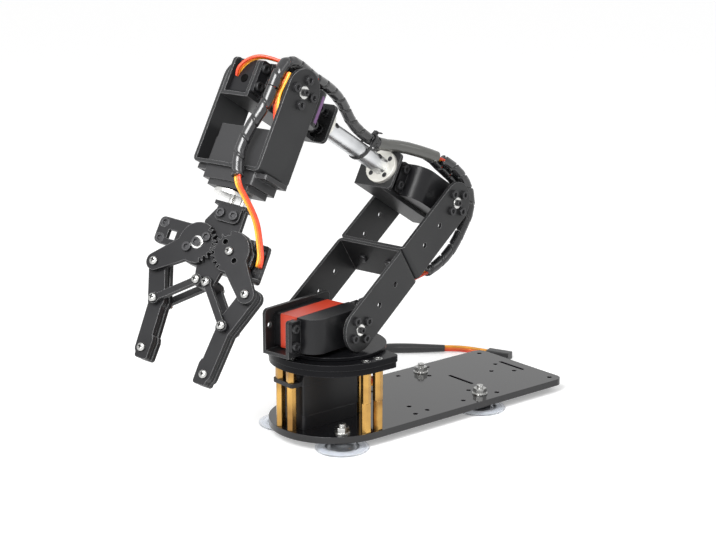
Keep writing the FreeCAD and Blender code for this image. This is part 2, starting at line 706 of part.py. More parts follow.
def horn():
    low = SERVO_TOP + BOSS_H + FACE_GAP
    disc = rod(HORN_R, V(0, BRACKET_IN - HORN_T, 0), Y_AXIS, HORN_T)
    hub = rod(HORN_HUB_R, V(0, low, 0), Y_AXIS, BRACKET_IN - low)
    nose = rod(HORN_NOSE_R, V(0, BRACKET_IN, 0), Y_AXIS, SHEET + NOSE_OUT)
    holes = [rod(SCREW_R + RUN_GAP, p + V(0, BRACKET_IN - HORN_T, 0), Y_AXIS, HORN_T) for p in horn_spots()]
    holes.append(rod(SCREW_R + RUN_GAP, V(0, low, 0), Y_AXIS, BRACKET_OUT))
    return drilled(joined([disc, hub, nose]), holes)


def horn_screws():
    screw = cap_screw(HEAD_R, HEAD_H, SCREW_R, SHEET + HORN_T)
    screws = [at(screw, p + V(0, BRACKET_OUT, 0), Y_AXIS) for p in horn_spots()]
    middle = cap_screw(CENTRE_HEAD_R, HEAD_H, SCREW_R, BRACKET_OUT - SERVO_TOP - BOSS_H - FACE_GAP)
    return screws + [at(middle, V(0, BRACKET_OUT + NOSE_OUT, 0), Y_AXIS)]


def idler():
    wall = SERVO_FLOOR - SHEET
    journal = BEARING_HOLE - RUN_GAP
    bush_end = -BRACKET_IN + FACE_GAP
    cap_at = -BRACKET_OUT - FACE_GAP
    bush = rod(journal + IDLER_RIM, V(0, bush_end, 0), Y_AXIS, wall - bush_end)
    pin = rod(journal, V(0, cap_at, 0), Y_AXIS, bush_end - cap_at)
    cap = rod(journal + CAP_RIM, V(0, cap_at, 0), -Y_AXIS, HEAD_H)
    stem = rod(SCREW_R, V(0, wall, 0), Y_AXIS, SHEET)
    return joined([bush, pin, cap, stem])


def turntable_parts():
    disc = rod(DISC_R, V(0, 0, DISC_UNDER), Z_AXIS, DISC_T)
    race_out = BEARING_R - RACE_W - 2 * BALL_R - 2 * RUN_GAP
    race_in = race_out - RACE_W
    hub = rod(race_in - RUN_GAP, V(0, 0, DISC_UNDER - HUB_H), Z_AXIS, HUB_H)
    race = ring(race_out, race_in, V(0, 0, DISC_UNDER - HUB_H), Z_AXIS, HUB_H)
    horn_low = PLATE_TOP + BASE_COVER + BASE_BAND + BASE_TOP + BOSS_H + FACE_GAP
    horn_top = DISC_UNDER - HUB_H
    drive = joined([
        rod(HORN_R, V(0, 0, horn_top - HORN_T), Z_AXIS, HORN_T),
        rod(HORN_HUB_R, V(0, 0, horn_low), Z_AXIS, horn_top - horn_low),
    ])
    parts = {"turntable_disc": joined([disc, hub])}
    parts["bearing_inner_race"] = race
    parts["base_horn"] = drive
    local = {"shoulder_bracket": servo_bracket(1, SERVO_HALF + SERVO_LIFT - SHEET)}
    local.update(shoulder_servo())
    local["shoulder_servo_screws"] = Part.makeCompound(ear_screws(1, EAR_FROM + EAR_T, EAR_T + SHEET))
    local["shoulder_idler"] = idler()
    for name, shape in local.items():
        shape.Placement = FreeCAD.Placement(V(SHOULDER_X, 0, SHOULDER_Z), FreeCAD.Rotation())
        parts[name] = shape
    return parts


def upper_arm_parts():
    flip = FreeCAD.Placement(V(UPPER_ARM, 0, 0), FreeCAD.Rotation(Z_AXIS, 180))
    over = flip * FreeCAD.Placement(V(), FreeCAD.Rotation(X_AXIS, 180))
    parts = {"lower_bracket": u_bracket(BRACKET_REACH), "upper_bracket": u_bracket(BRACKET_REACH)}
    parts["upper_bracket"].Placement = over
    to_elbow = FreeCAD.Placement(V(UPPER_ARM, 0, 0), FreeCAD.Rotation())
    elbow_horn = horn()
    elbow_horn.Placement = to_elbow
    parts["arm_horns"] = Part.makeCompound([horn(), elbow_horn])
    far = horn_screws()
    for screw in far:
        screw.Placement = to_elbow * screw.Placement
    bolts = []
    for y in (JOINT_BOLT_Y, -JOINT_BOLT_Y):
        bolt = at(pan_screw(PAN_R, PAN_H, SCREW_R, 2 * SHEET), V(BRACKET_REACH - SHEET, y, 0), -X_AXIS)
        nut = rod(PAN_R, V(BRACKET_REACH + SHEET, y, 0), X_AXIS, PAN_H)
        bolts.append(joined([bolt, nut]))
    parts["upper_arm_screws"] = Part.makeCompound(horn_screws() + far + bolts)
    parts["shoulder_harness"] = cable(SHOULDER_HARNESS, WRAP_R, "shoulder harness")
    parts["arm_harness"] = cable(ARM_HARNESS, WRAP_R, "arm harness")
    return parts


def flange(side):
    disc = rod(FLANGE_R, V(), X_AXIS * side, FLANGE_T)
    spigot = rod(TUBE_R - TUBE_WALL - RUN_GAP / 2, V(), X_AXIS * side, FLANGE_T + SPIGOT)
    holes = []
    for spot in flange_spots():
        holes.append(rod(SCREW_R + RUN_GAP, spot, X_AXIS * side, FLANGE_T))
    return drilled(joined([disc, spigot]), holes)


def flange_spots():
    return [V(0, y * FLANGE_HOLE, z * FLANGE_HOLE) for y in (1, -1) for z in (1, -1)]


def forearm_parts():
    parts = {"elbow_bracket": servo_bracket(1, SERVO_HALF + SLIP_GAP, ELBOW_PLATE)}
    parts["elbow_servo"] = Part.makeCompound(servo(1, SERVO_FLOOR))
    wrist = {"wrist_bracket": servo_bracket(-1, SERVO_HALF + SLIP_GAP, WRIST_PLATE)}
    wrist.update(wrist_servo())
    to_wrist = FreeCAD.Placement(V(FOREARM, 0, 0), FreeCAD.Rotation())
    for name, shape in wrist.items():
        shape.Placement = to_wrist
        parts[name] = shape
    far_idler = idler()
    far_idler.Placement = to_wrist
    parts["forearm_idlers"] = Part.makeCompound([idler(), far_idler])
    screws = ear_screws(1, EAR_FROM + EAR_T, EAR_T + SHEET)
    for screw in ear_screws(-1, EAR_FROM + EAR_T, EAR_T + SHEET):
        screw.Placement = to_wrist * screw.Placement
        screws.append(screw)
    parts["forearm_servo_screws"] = Part.makeCompound(screws)
    far = FOREARM - WRIST_PLATE
    near_flange, far_flange = flange(1), flange(-1)
    near_flange.Placement = FreeCAD.Placement(V(ELBOW_PLATE, 0, 0), FreeCAD.Rotation())
    far_flange.Placement = FreeCAD.Placement(V(far, 0, 0), FreeCAD.Rotation())
    parts["tube_flanges"] = Part.makeCompound([near_flange, far_flange])
    start = V(ELBOW_PLATE + FLANGE_T, 0, 0)
    length = far - FLANGE_T - start.x
    tube = ring(TUBE_R, TUBE_R - TUBE_WALL, start, X_AXIS, length)
    setters = []
    tilt = math.radians(SET_SCREW_TILT)
    outward = V(0, math.cos(tilt), math.sin(tilt))
    depth = TUBE_WALL
    for x in (start.x + SET_SCREW_OUT, start.x + length - SET_SCREW_OUT):
        foot = V(x, 0, 0) + outward * (TUBE_R - depth)
        tube = tube.cut(rod(SCREW_R + RUN_GAP, foot - outward, outward, 2 * depth + 1))
        setters.append(rod(SCREW_R, foot, outward, depth + SET_SCREW_PROUD))
    parts["forearm_tube"] = tube
    flange_screws = []
    for x, side in ((ELBOW_PLATE - SHEET, 1), (far + SHEET, -1)):
        for spot in flange_spots():
            screw = cap_screw(HEAD_R, HEAD_H, SCREW_R, SHEET + FLANGE_T)
            flange_screws.append(at(screw, spot + V(x, 0, 0), X_AXIS * -side))
    parts["tube_screws"] = Part.makeCompound(setters + flange_screws)
    parts["elbow_harness"] = cable(ELBOW_HARNESS, WRAP_R, "elbow harness")
    parts["wrist_harness"] = cable(WRIST_HARNESS, WRAP_R, "wrist harness")
    return parts


def wrist_parts():
    parts = {"wrist_fork": u_bracket(FORK_REACH, True), "wrist_horn": horn()}
    parts["wrist_horn_screws"] = Part.makeCompound(horn_screws())
    ear = ROLL_COVER + ROLL_BAND
    turned = FreeCAD.Placement(V(FORK_REACH - ear, ROLL_SIDE, 0), FreeCAD.Rotation(Z_AXIS, -90))
    pieces = servo(1, 0.0, ROLL_COVER, ROLL_BAND, ROLL_TOP, ROLL_LONG, ROLL_SHORT, True)
    parts["roll_servo"] = Part.makeCompound(pieces)
    parts["roll_servo"].Placement = turned
    parts["wrist_wrap"] = cable(WRIST_WRAP, WRAP_R, "wrist wrap")
    parts["gripper_lead"] = cable(GRIPPER_LEAD, LEAD_R, "gripper lead")
    return parts


def sheet(corners, z0, height):
    face = Part.Face(Part.makePolygon(corners + [corners[0]]))
    face.translate(V(0, 0, z0))
    return face.extrude(V(0, 0, height))


def involute_tooth(pitch_r, module):
    base_r = pitch_r * math.cos(math.radians(20))
    tip_r = pitch_r + 0.9 * module
    root_r = pitch_r - 1.2 * module
    half = (math.pi * module / 2 - BACKLASH) / (2 * pitch_r)

    def spread(r):
        a = math.acos(min(1.0, base_r / r))
        return math.tan(a) - a

    flank = []
    for k in range(4):
        r = base_r + (tip_r - base_r) * k / 3
        flank.append((r, half + spread(pitch_r) - spread(r)))
    flank.insert(0, (root_r - 0.5, flank[0][1]))
    points = [V(r * math.cos(a), r * math.sin(a), 0) for r, a in flank]
    points += [V(r * math.cos(-a), r * math.sin(-a), 0) for r, a in reversed(flank)]
    return Part.Face(Part.makePolygon(points + [points[0]]))


def jaw_gear(hand, lift, phase):
    module = 2.0 * GEAR_HALF / GEAR_TEETH
    root = GEAR_HALF - 1.2 * module
    middle = V(GEAR_AT, hand * GEAR_HALF, 0)
    a = math.radians(lift)
    pivot = middle + V(JAW_ARM * math.sin(a), hand * JAW_ARM * math.cos(a), 0)
    wheel = rod(root, middle + V(0, 0, FRONT_Z), Z_AXIS, LAYER)
    shield = rod(GEAR_BODY, middle + V(0, 0, FRONT_Z), Z_AXIS, LAYER)
    inward = -90.0 * hand
    pitch = 360.0 / GEAR_TEETH
    teeth = []
    span = int(TOOTH_SPAN / pitch / 2)
    for k in range(-span, span + 1):
        tooth = involute_tooth(GEAR_HALF, module).extrude(V(0, 0, LAYER))
        turn = inward + pitch * (k + phase)
        place = FreeCAD.Rotation(Z_AXIS, turn)
        tooth.Placement = FreeCAD.Placement(middle + V(0, 0, FRONT_Z), place)
        teeth.append(tooth)
    open_half = pitch * (span + 0.5) + pitch * abs(phase)
    under = V(0, 0, FRONT_Z - LAYER)
    through = 3 * LAYER
    wedge = [middle]
    for k in range(5):
        b = math.radians(inward - open_half + 2 * open_half * k / 4)
        wedge.append(middle + V(math.cos(b), math.sin(b), 0) * (2 * GEAR_BODY))
    cutter = sheet(wedge, under.z, through)
    shield = shield.cut(cutter)
    arm = taper(middle, pivot, ARM_ROOT_R, ARM_END_R).cut(cutter)
    solid = joined([wheel, shield, arm] + teeth)
    run = PIVOT_R + RUN_GAP
    hub = run if hand > 0 else HORN_NOSE_R + SLIP_GAP
    tools = [rod(hub, middle + under, Z_AXIS, through), rod(run, pivot + under, Z_AXIS, through)]
    for spot in gear_screw_spots(hand):
        tools.append(rod(SCREW_R, spot + under, Z_AXIS, through))
    return drilled(solid, tools)


def gear_screw_spots(hand):
    middle = V(GEAR_AT, hand * GEAR_HALF, 0)
    tilt = math.radians(LEFT_SCREW_TILT if hand < 0 else RIGHT_SCREW_TILT)
    reach = GEAR_SCREW_OUT
    side = V(math.sin(tilt), math.cos(tilt), 0) * reach
    return [middle + side, middle - side]


def taper(start, end, r0, r1):
    run = end - start
    side = V(-run.y, run.x, 0).normalize()
    ahead = V(run).normalize()
    corners = [start + side * r0, end + side * r1, end - side * r1, start - side * r0]
    edges = [line(corners[0], corners[1]), bend(corners[1], end + ahead * r1, corners[2])]
    edges += [line(corners[2], corners[3]), line(corners[3], corners[0])]
    return slab(edges, FRONT_Z, LAYER)


def jaw_points(hand, lift):
    a = math.radians(lift)
    swing = V(JAW_ARM * math.sin(a), hand * JAW_ARM * math.cos(a), 0)
    gear = V(GEAR_AT, hand * GEAR_HALF, 0)
    anchor = gear + V(LINK_AHEAD, -hand * LINK_INSET, 0)
    tip = gear + swing + V(TIP_AHEAD, -hand * TIP_IN, 0)
    return gear, gear + swing, anchor, anchor + swing, tip


def finger_layer(hand, lift, inset, z0, height):
    gear, knuckle, anchor, joint, tip = jaw_points(hand, lift)
    inward = V(0, -hand, 0)
    end = tip + V(TIP_END, 0, 0)
    root = capsule(knuckle, joint, FINGER_R - inset, z0, height)
    shank = capsule(joint, tip, SHANK_R - inset, z0, height)
    pad_root = tip - V(PAD_BACK, 0, 0)
    outer = -inward * (SHANK_R - inset)
    inner = inward * (PAD_W - inset)
    corners = [pad_root + outer, end + outer * 0.6, end + inner, pad_root + V(PAD_RAMP, 0, 0) + inner]
    corners += [pad_root + inward * (SHANK_R - inset)]
    pad = Part.Face(Part.makePolygon(corners + [corners[0]])).extrude(V(0, 0, height))
    upright = [e for e in pad.Edges if abs(e.Length - height) < 0.01]
    pad = pad.makeFillet(PAD_ROUND, [e for e in upright if abs(e.CenterOfMass.x - end.x) < 0.01])
    pad.translate(V(0, 0, z0))
    layer = joined([root, shank, pad])
    bores = [rod(PIVOT_R + RUN_GAP, p + V(0, 0, z0), Z_AXIS, height) for p in (knuckle, joint, tip)]
    return drilled(layer, bores)


def finger(hand, lift):
    back = FRONT_Z - FACE_GAP - FINGER_T
    thick = FINGER_T / FINGER_LAYERS
    layers = []
    for k in range(FINGER_LAYERS):
        inset = FINGER_GROOVE if k % 2 else 0.0
        layers.append(finger_layer(hand, lift, inset, back + k * thick, thick))
    return Part.makeCompound(layers)


def links(hand, lift):
    gear, knuckle, anchor, joint, tip = jaw_points(hand, lift)
    back = FRONT_Z - 2 * FACE_GAP - FINGER_T - LAYER
    bars = []
    for z0 in (FRONT_Z, back):
        bar = capsule(anchor, joint, LINK_W / 2, z0, LAYER)
        bar = joined([bar] + [rod(LINK_EYE_R, p + V(0, 0, z0), Z_AXIS, LAYER) for p in (anchor, joint)])
        bores = [rod(PIVOT_R + RUN_GAP, p + V(0, 0, z0), Z_AXIS, LAYER) for p in (anchor, joint)]
        bars.append(drilled(bar, bores))
    return Part.makeCompound(bars)


def pivot_screw(spot, tail):
    front = FRONT_Z + LAYER + FACE_GAP
    screw = pan_screw(PIVOT_HEAD_R, PIVOT_HEAD_H, PIVOT_R, front - tail)
    return at(screw, spot + V(0, 0, front))


def finger_screws(hand, lift):
    gear, knuckle, anchor, joint, tip = jaw_points(hand, lift)
    back = FRONT_Z - FACE_GAP - FINGER_T
    link_back = back - FACE_GAP - LAYER
    screws = [pivot_screw(knuckle, back - PIVOT_TAIL), pivot_screw(joint, link_back - PIVOT_TAIL)]
    tip_head = pan_screw(PIVOT_HEAD_R, PIVOT_HEAD_H, PIVOT_R, FINGER_T)
    return Part.makeCompound(screws + [at(tip_head, tip + V(0, 0, FRONT_Z - FACE_GAP))])


def gripper_frame():
    top = FRONT_Z - FACE_GAP
    low = top - FRAME_T
    nose_low = FRONT_Z - FACE_GAP - FINGER_T
    gears = [V(GEAR_AT, h * GEAR_HALF, 0) for h in (1, -1)]
    anchors = [V(GEAR_AT + LINK_AHEAD, h * (GEAR_HALF - LINK_INSET), 0) for h in (1, -1)]
    rear = V(MOUNT_SEAT + SHEET + FACE_GAP, 0, 0)
    pieces = [capsule(gears[0], gears[1], FRAME_R, low, FRAME_T)]
    pieces.append(capsule(anchors[0], anchors[1], LINK_EYE_R + NOSE_RIM, nose_low, top - nose_low))
    eye = V(0, LINK_EYE_R, 0)
    pieces.append(sheet([gears[0], anchors[0] + eye, anchors[1] - eye, gears[1]], low, FRAME_T))
    hip = gears[1] - V(TAIL_SWELL, TAIL_HIP, 0)
    tail = [rear + V(0, TAIL_RIGHT, 0), gears[0], gears[1], hip, rear - V(0, TAIL_LEFT, 0)]
    pieces.append(sheet(tail, low, FRAME_T))
    tab_x = GEAR_AT - TAB_BACK
    tab_end = -GEAR_HALF - TAB_OUT - TAB_RIM
    tab = box(tab_x - TAB_HALF - TAB_RIM, GEAR_AT + TAB_FRONT, -GEAR_HALF, tab_end, low, top)
    pieces.append(softened(tab, Z_AXIS, BEND))
    stub_x = GEAR_AT + STUB_SCREW_X
    stub_end = GEAR_HALF + STUB_SCREW_Y + STUB_RIM
    stub = box(stub_x - STUB_HALF, stub_x + STUB_HALF, GEAR_HALF, stub_end, low, top)
    pieces.append(softened(stub, Z_AXIS, STUB_RIM))
    run = PIVOT_R + SLIP_GAP
    tools = [rod(run, p + V(0, 0, nose_low), Z_AXIS, FINGER_T) for p in anchors]
    tools.append(rod(SCREW_R + SLIP_GAP, gears[0] + V(0, 0, low), Z_AXIS, FRAME_T))
    tools.append(rod(DRIVE_R + FACE_GAP, gears[1] + V(0, 0, low), Z_AXIS, FRAME_T))
    half = WINDOW / 2
    middle = gears[1] - V(WINDOW_BACK, WINDOW_OUT, 0)
    tools.append(box(middle.x - half, middle.x + half, middle.y - half, middle.y + half, low, top))
    for spot in ear_spots() + mount_spots():
        tools.append(rod(SCREW_R + SLIP_GAP, spot + V(0, 0, low), Z_AXIS, FRAME_T))
    for spot in ear_spots():
        tools.append(rod(HEAD_R + SLIP_GAP, spot + V(0, 0, top - HEAD_H), Z_AXIS, HEAD_H))
    return drilled(joined(pieces), tools)


def ear_spots():
    left = [V(GEAR_AT - TAB_BACK + s * TAB_HALF, -GEAR_HALF - TAB_OUT, 0) for s in (1, -1)]
    return left + [V(GEAR_AT + STUB_SCREW_X, GEAR_HALF + STUB_SCREW_Y, 0)]


def mount_spots():
    x = GEAR_AT - MOUNT_SCREW_BACK
    return [V(x, MOUNT_SCREW_SIDE + s * MOUNT_SCREW_HALF, 0) for s in (1, -1)]


def gripper_mount():
    seat = MOUNT_SEAT
    top = FRONT_Z - FACE_GAP
    plate = box(seat, seat + SHEET, -MOUNT_LEFT, MOUNT_RIGHT, -HORN_R, top + SHEET)
    tip = GEAR_AT - MOUNT_SCREW_BACK + FLAP_END
    half = MOUNT_SCREW_HALF + FLAP_RIM
    flap = box(seat, tip, MOUNT_SCREW_SIDE - half, MOUNT_SCREW_SIDE + half, top, top + SHEET)
    ends = [e for e in flap.Edges if abs(e.CenterOfMass.x - tip) < 0.01 and abs(e.Length - SHEET) < 0.01]
    holes = [rod(SCREW_R + SLIP_GAP, p + V(0, 0, top), Z_AXIS, SHEET) for p in mount_spots()]
    for spot in spacer_spots():
        holes.append(rod(HORN_PIN_R + SLIP_GAP, spot + V(seat, 0, 0), X_AXIS, SHEET))
    return drilled(joined([plate, flap.makeFillet(BEND, ends)]), holes)


def spacer_spots():
    return [V(0, s * SPACER_SIDE, -SPACER_DROP) for s in (1, -1)]


def roll_horn():
    face = MOUNT_SEAT - SPACER_H - ROLL_HORN_T
    length = ROLL_HORN_T + SPACER_H
    posts = [rod(SPACER_R, p + V(face, 0, 0), X_AXIS, length) for p in spacer_spots()]
    bores = [rod(HORN_PIN_R + RUN_GAP, p + V(face, 0, 0), X_AXIS, length) for p in spacer_spots()]
    disc = rod(HORN_R, V(face, 0, 0), X_AXIS, ROLL_HORN_T)
    return drilled(joined([disc] + posts), bores)


def gripper_parts():
    top = FRONT_Z - FACE_GAP
    low = top - FRAME_T
    parts = {"roll_horn": roll_horn()}
    parts["gripper_mount"] = gripper_mount()
    parts["gripper_frame"] = gripper_frame()
    height = COVER_H + GRIP_BAND + GRIP_TOP + BOSS_H
    turned = FreeCAD.Rotation(V(1, 1, 1), 120)
    parts["gripper_servo"] = Part.makeCompound(servo(1, 0.0, COVER_H, GRIP_BAND, GRIP_TOP))
    seat = V(GEAR_AT, -GEAR_HALF, low - FACE_GAP - height)
    parts["gripper_servo"].Placement = FreeCAD.Placement(seat, turned)
    screws = []
    for spot in ear_spots():
        screws.append(at(cap_screw(HEAD_R, HEAD_H, SCREW_R, FRAME_T - HEAD_H), spot + V(0, 0, top - HEAD_H)))
    for spot in mount_spots():
        screws.append(at(cap_screw(HEAD_R, HEAD_H, SCREW_R, FRAME_T + SHEET), spot + V(0, 0, top + SHEET)))
    for spot in spacer_spots():
        screw = cap_screw(HORN_PIN_HEAD, HORN_PIN_HEAD, HORN_PIN_R, SHEET + SPACER_H + ROLL_HORN_T)
        screws.append(at(screw, spot + V(MOUNT_SEAT + SHEET, 0, 0), X_AXIS))
    parts["gripper_screws"] = Part.makeCompound(screws)
    back = top - FINGER_T - FACE_GAP - LAYER
    pins = [pivot_screw(V(GEAR_AT, GEAR_HALF, 0), low)]
    for h in (1, -1):
        anchor = V(GEAR_AT + LINK_AHEAD, h * (GEAR_HALF - LINK_INSET), 0)
        pins.append(pivot_screw(anchor, back - PIVOT_TAIL))
    parts["link_pins"] = Part.makeCompound(pins)
    return parts


def drive_parts():
    middle = V(GEAR_AT, -GEAR_HALF, 0)
    low = FRONT_Z - FACE_GAP - FRAME_T
    disc = rod(DRIVE_R, middle + V(0, 0, low), Z_AXIS, FRONT_Z - low)
    nose = rod(HORN_NOSE_R, middle + V(0, 0, FRONT_Z), Z_AXIS, LAYER + NOSE_OUT)
    bores = [rod(SCREW_R + RUN_GAP, middle + V(0, 0, low), Z_AXIS, 2 * LAYER + FRAME_T)]
    bores += [rod(SCREW_R + RUN_GAP, p + V(0, 0, low), Z_AXIS, 2 * LAYER) for p in gear_screw_spots(-1)]
    screws = []
    for spot in gear_screw_spots(-1):
        screw = cap_screw(HEAD_R, HEAD_H, SCREW_R - RUN_GAP, LAYER + FRAME_T)
        screws.append(at(screw, spot + V(0, 0, FRONT_Z + LAYER)))
    centre = cap_screw(HEAD_R, HEAD_H, SCREW_R, LAYER + FRAME_T)
    screws.append(at(centre, middle + V(0, 0, FRONT_Z + LAYER + NOSE_OUT)))
    parts = {"left_jaw_gear": jaw_gear(-1, LEFT_JAW, 0.0)}
    parts["gripper_horn"] = drilled(joined([disc, nose]), bores)
    parts["gear_screws"] = Part.makeCompound(screws)
    return parts


def save(parts, place):
    for name, shape in parts.items():
        shape.Placement = place * shape.Placement
        shape.exportStep("parts/" + name + ".step")


os.makedirs("parts", exist_ok=True)
save(base_parts(), BASE)
save(turntable_parts(), TURN)
save(upper_arm_parts(), UPPER)
save(forearm_parts(), ELBOW)
save(wrist_parts(), WRIST)
save(gripper_parts(), GRIP)
save(drive_parts(), GRIP)
jaws = {"right_jaw_gear": jaw_gear(1, RIGHT_JAW, 0.5)}
for side_name, hand, lift in (("left", -1, LEFT_JAW), ("right", 1, RIGHT_JAW)):
    jaws[side_name + "_links"] = links(hand, lift)
    jaws[side_name + "_finger"] = finger(hand, lift)
    jaws[side_name + "_finger_screws"] = finger_screws(hand, lift)
save(jaws, GRIP)
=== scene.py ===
import json
import math

import bmesh
import bpy
from mathutils import Matrix, Vector
from mathutils.geometry import convex_hull_2d


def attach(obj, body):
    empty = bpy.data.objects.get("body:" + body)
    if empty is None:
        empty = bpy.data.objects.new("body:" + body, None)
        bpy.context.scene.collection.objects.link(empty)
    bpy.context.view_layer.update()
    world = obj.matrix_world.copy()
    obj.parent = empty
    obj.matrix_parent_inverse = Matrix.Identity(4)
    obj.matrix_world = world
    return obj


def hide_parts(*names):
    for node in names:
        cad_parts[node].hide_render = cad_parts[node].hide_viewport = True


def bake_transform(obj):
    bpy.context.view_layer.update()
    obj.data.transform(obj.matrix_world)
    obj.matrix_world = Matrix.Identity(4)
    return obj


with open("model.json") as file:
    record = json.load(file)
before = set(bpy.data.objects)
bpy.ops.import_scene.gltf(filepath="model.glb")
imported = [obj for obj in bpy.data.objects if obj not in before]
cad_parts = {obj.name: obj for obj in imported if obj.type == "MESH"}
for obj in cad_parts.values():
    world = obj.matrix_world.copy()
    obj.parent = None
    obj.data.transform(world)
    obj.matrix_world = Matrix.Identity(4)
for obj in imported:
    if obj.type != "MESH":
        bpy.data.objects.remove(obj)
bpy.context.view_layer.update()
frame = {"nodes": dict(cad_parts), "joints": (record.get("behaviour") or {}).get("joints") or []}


# Suction cups. Four soft cups of clear vinyl, pressed a little flat by the arm's weight.
# Each hangs under the base plate on a steel stud with a washer and nut.
def finish(name, colour, roughness, metallic=0.0, specular=0.5):
    material = bpy.data.materials.new(name)
    material.use_nodes = True
    shader = material.node_tree.nodes["Principled BSDF"]
    shader.inputs["Base Color"].default_value = (*colour, 1.0)
    shader.inputs["Roughness"].default_value = roughness
    shader.inputs["Metallic"].default_value = metallic
    shader.inputs["Specular IOR Level"].default_value = specular
    return material, shader


def dress(material, *names):
    for name in names:
        skin = frame["nodes"][name].data.materials
        skin.clear()
        skin.append(material)


def new_group(name, inputs, outputs):
    group = bpy.data.node_groups.new(name, "ShaderNodeTree")
    for label, kind in inputs:
        group.interface.new_socket(label, in_out="INPUT", socket_type=kind)
    for label, kind in outputs:
        group.interface.new_socket(label, in_out="OUTPUT", socket_type=kind)
    return group, group.nodes.new("NodeGroupInput"), group.nodes.new("NodeGroupOutput")


GRAIN_RELIEF = 0.0003
EDGE_ROUND_WIDTH = 0.0006
FLAT_MEETING = 0.99
EDGE_MEETING = 0.80
grain, grain_in, grain_out = new_group(
    "fine_grain",
    [("Scale", "NodeSocketFloat"), ("Depth", "NodeSocketFloat"), ("Stretch", "NodeSocketVector")],
    [("Mask", "NodeSocketFloat"), ("Edge", "NodeSocketFloat"), ("Normal", "NodeSocketVector")],
)
grain_place = grain.nodes.new("ShaderNodeTexCoord")
grain_stretch = grain.nodes.new("ShaderNodeVectorMath")
grain_stretch.operation = "MULTIPLY"
grain_noise = grain.nodes.new("ShaderNodeTexNoise")
grain_noise.inputs["Detail"].default_value = 3.0
grain_bump = grain.nodes.new("ShaderNodeBump")
grain_bump.inputs["Distance"].default_value = GRAIN_RELIEF
# The Edge output masks the rounded edges. Materials lighten their colour there, which is a painted highlight.
grain_round = grain.nodes.new("ShaderNodeBevel")
grain_round.inputs["Radius"].default_value = EDGE_ROUND_WIDTH
grain_true = grain.nodes.new("ShaderNodeNewGeometry")
grain_meet = grain.nodes.new("ShaderNodeVectorMath")
grain_meet.operation = "DOT_PRODUCT"
grain_edge = grain.nodes.new("ShaderNodeMapRange")
grain_edge.inputs["From Min"].default_value = FLAT_MEETING
grain_edge.inputs["From Max"].default_value = EDGE_MEETING
grain.links.new(grain_round.outputs["Normal"], grain_meet.inputs[0])
grain.links.new(grain_true.outputs["Normal"], grain_meet.inputs[1])
grain.links.new(grain_meet.outputs["Value"], grain_edge.inputs["Value"])
grain.links.new(grain_edge.outputs["Result"], grain_out.inputs["Edge"])
grain.links.new(grain_round.outputs["Normal"], grain_bump.inputs["Normal"])
grain.links.new(grain_place.outputs["Object"], grain_stretch.inputs[0])
grain.links.new(grain_in.outputs["Stretch"], grain_stretch.inputs[1])
grain.links.new(grain_stretch.outputs["Vector"], grain_noise.inputs["Vector"])
grain.links.new(grain_in.outputs["Scale"], grain_noise.inputs["Scale"])
grain.links.new(grain_in.outputs["Depth"], grain_bump.inputs["Strength"])
grain.links.new(grain_noise.outputs["Fac"], grain_bump.inputs["Height"])
grain.links.new(grain_noise.outputs["Fac"], grain_out.inputs["Mask"])
grain.links.new(grain_bump.outputs["Normal"], grain_out.inputs["Normal"])


def tint(material, shader, mask, colour):
    nodes, links = material.node_tree.nodes, material.node_tree.links
    mix = nodes.new("ShaderNodeMix")
    mix.data_type = "RGBA"
    plain, tinted = (socket for socket in mix.inputs if socket.identifier in ("A_Color", "B_Color"))
    mixed = next(socket for socket in mix.outputs if socket.identifier == "Result_Color")
    base = shader.inputs["Base Color"]
    plain.default_value = base.default_value
    tinted.default_value = (*colour, 1.0)
    if base.is_linked:
        links.new(base.links[0].from_socket, plain)
    links.new(mask, mix.inputs["Factor"])
    links.new(mixed, base)


def add_grain(material, shader, scale, depth, dull, bright, edge_highlight=None, stretch=(1.0, 1.0, 1.0)):
    nodes, links = material.node_tree.nodes, material.node_tree.links
    group = nodes.new("ShaderNodeGroup")
    group.node_tree = grain
    group.inputs["Scale"].default_value = scale
    group.inputs["Depth"].default_value = depth
    group.inputs["Stretch"].default_value = stretch
    spread = nodes.new("ShaderNodeMapRange")
    spread.inputs["To Min"].default_value = bright
    spread.inputs["To Max"].default_value = dull
    links.new(group.outputs["Mask"], spread.inputs["Value"])
    links.new(spread.outputs["Result"], shader.inputs["Roughness"])
    links.new(group.outputs["Normal"], shader.inputs["Normal"])
    # Painted highlight: the given lighter colour is mixed in on the rounded edges.
    if edge_highlight:
        tint(material, shader, group.outputs["Edge"], edge_highlight)


vinyl, vinyl_shader = finish("clear_vinyl", (0.84, 0.87, 0.92), 0.05)
vinyl_shader.inputs["Transmission Weight"].default_value = 0.95
vinyl_shader.inputs["IOR"].default_value = 1.42
add_grain(vinyl, vinyl_shader, scale=140.0, depth=0.02, dull=0.09, bright=0.03)
dress(vinyl, "suction_cups")


# Steel parts. Zinc-plated studs, nuts and screws with a fine dull grain, and the turntable's bearing.
# The studs are screwed into the cups and the pivot screws into the gripper's plates.
steel, steel_shader = finish("zinc_steel", (0.42, 0.42, 0.41), 0.26, metallic=1.0)
add_grain(steel, steel_shader, scale=900.0, depth=0.15, dull=0.34, bright=0.18)
dress(steel, "cup_studs", "standoff_screws", "bearing_outer", "bearing_inner_race")
dress(steel, "link_pins", "left_finger_screws", "right_finger_screws")


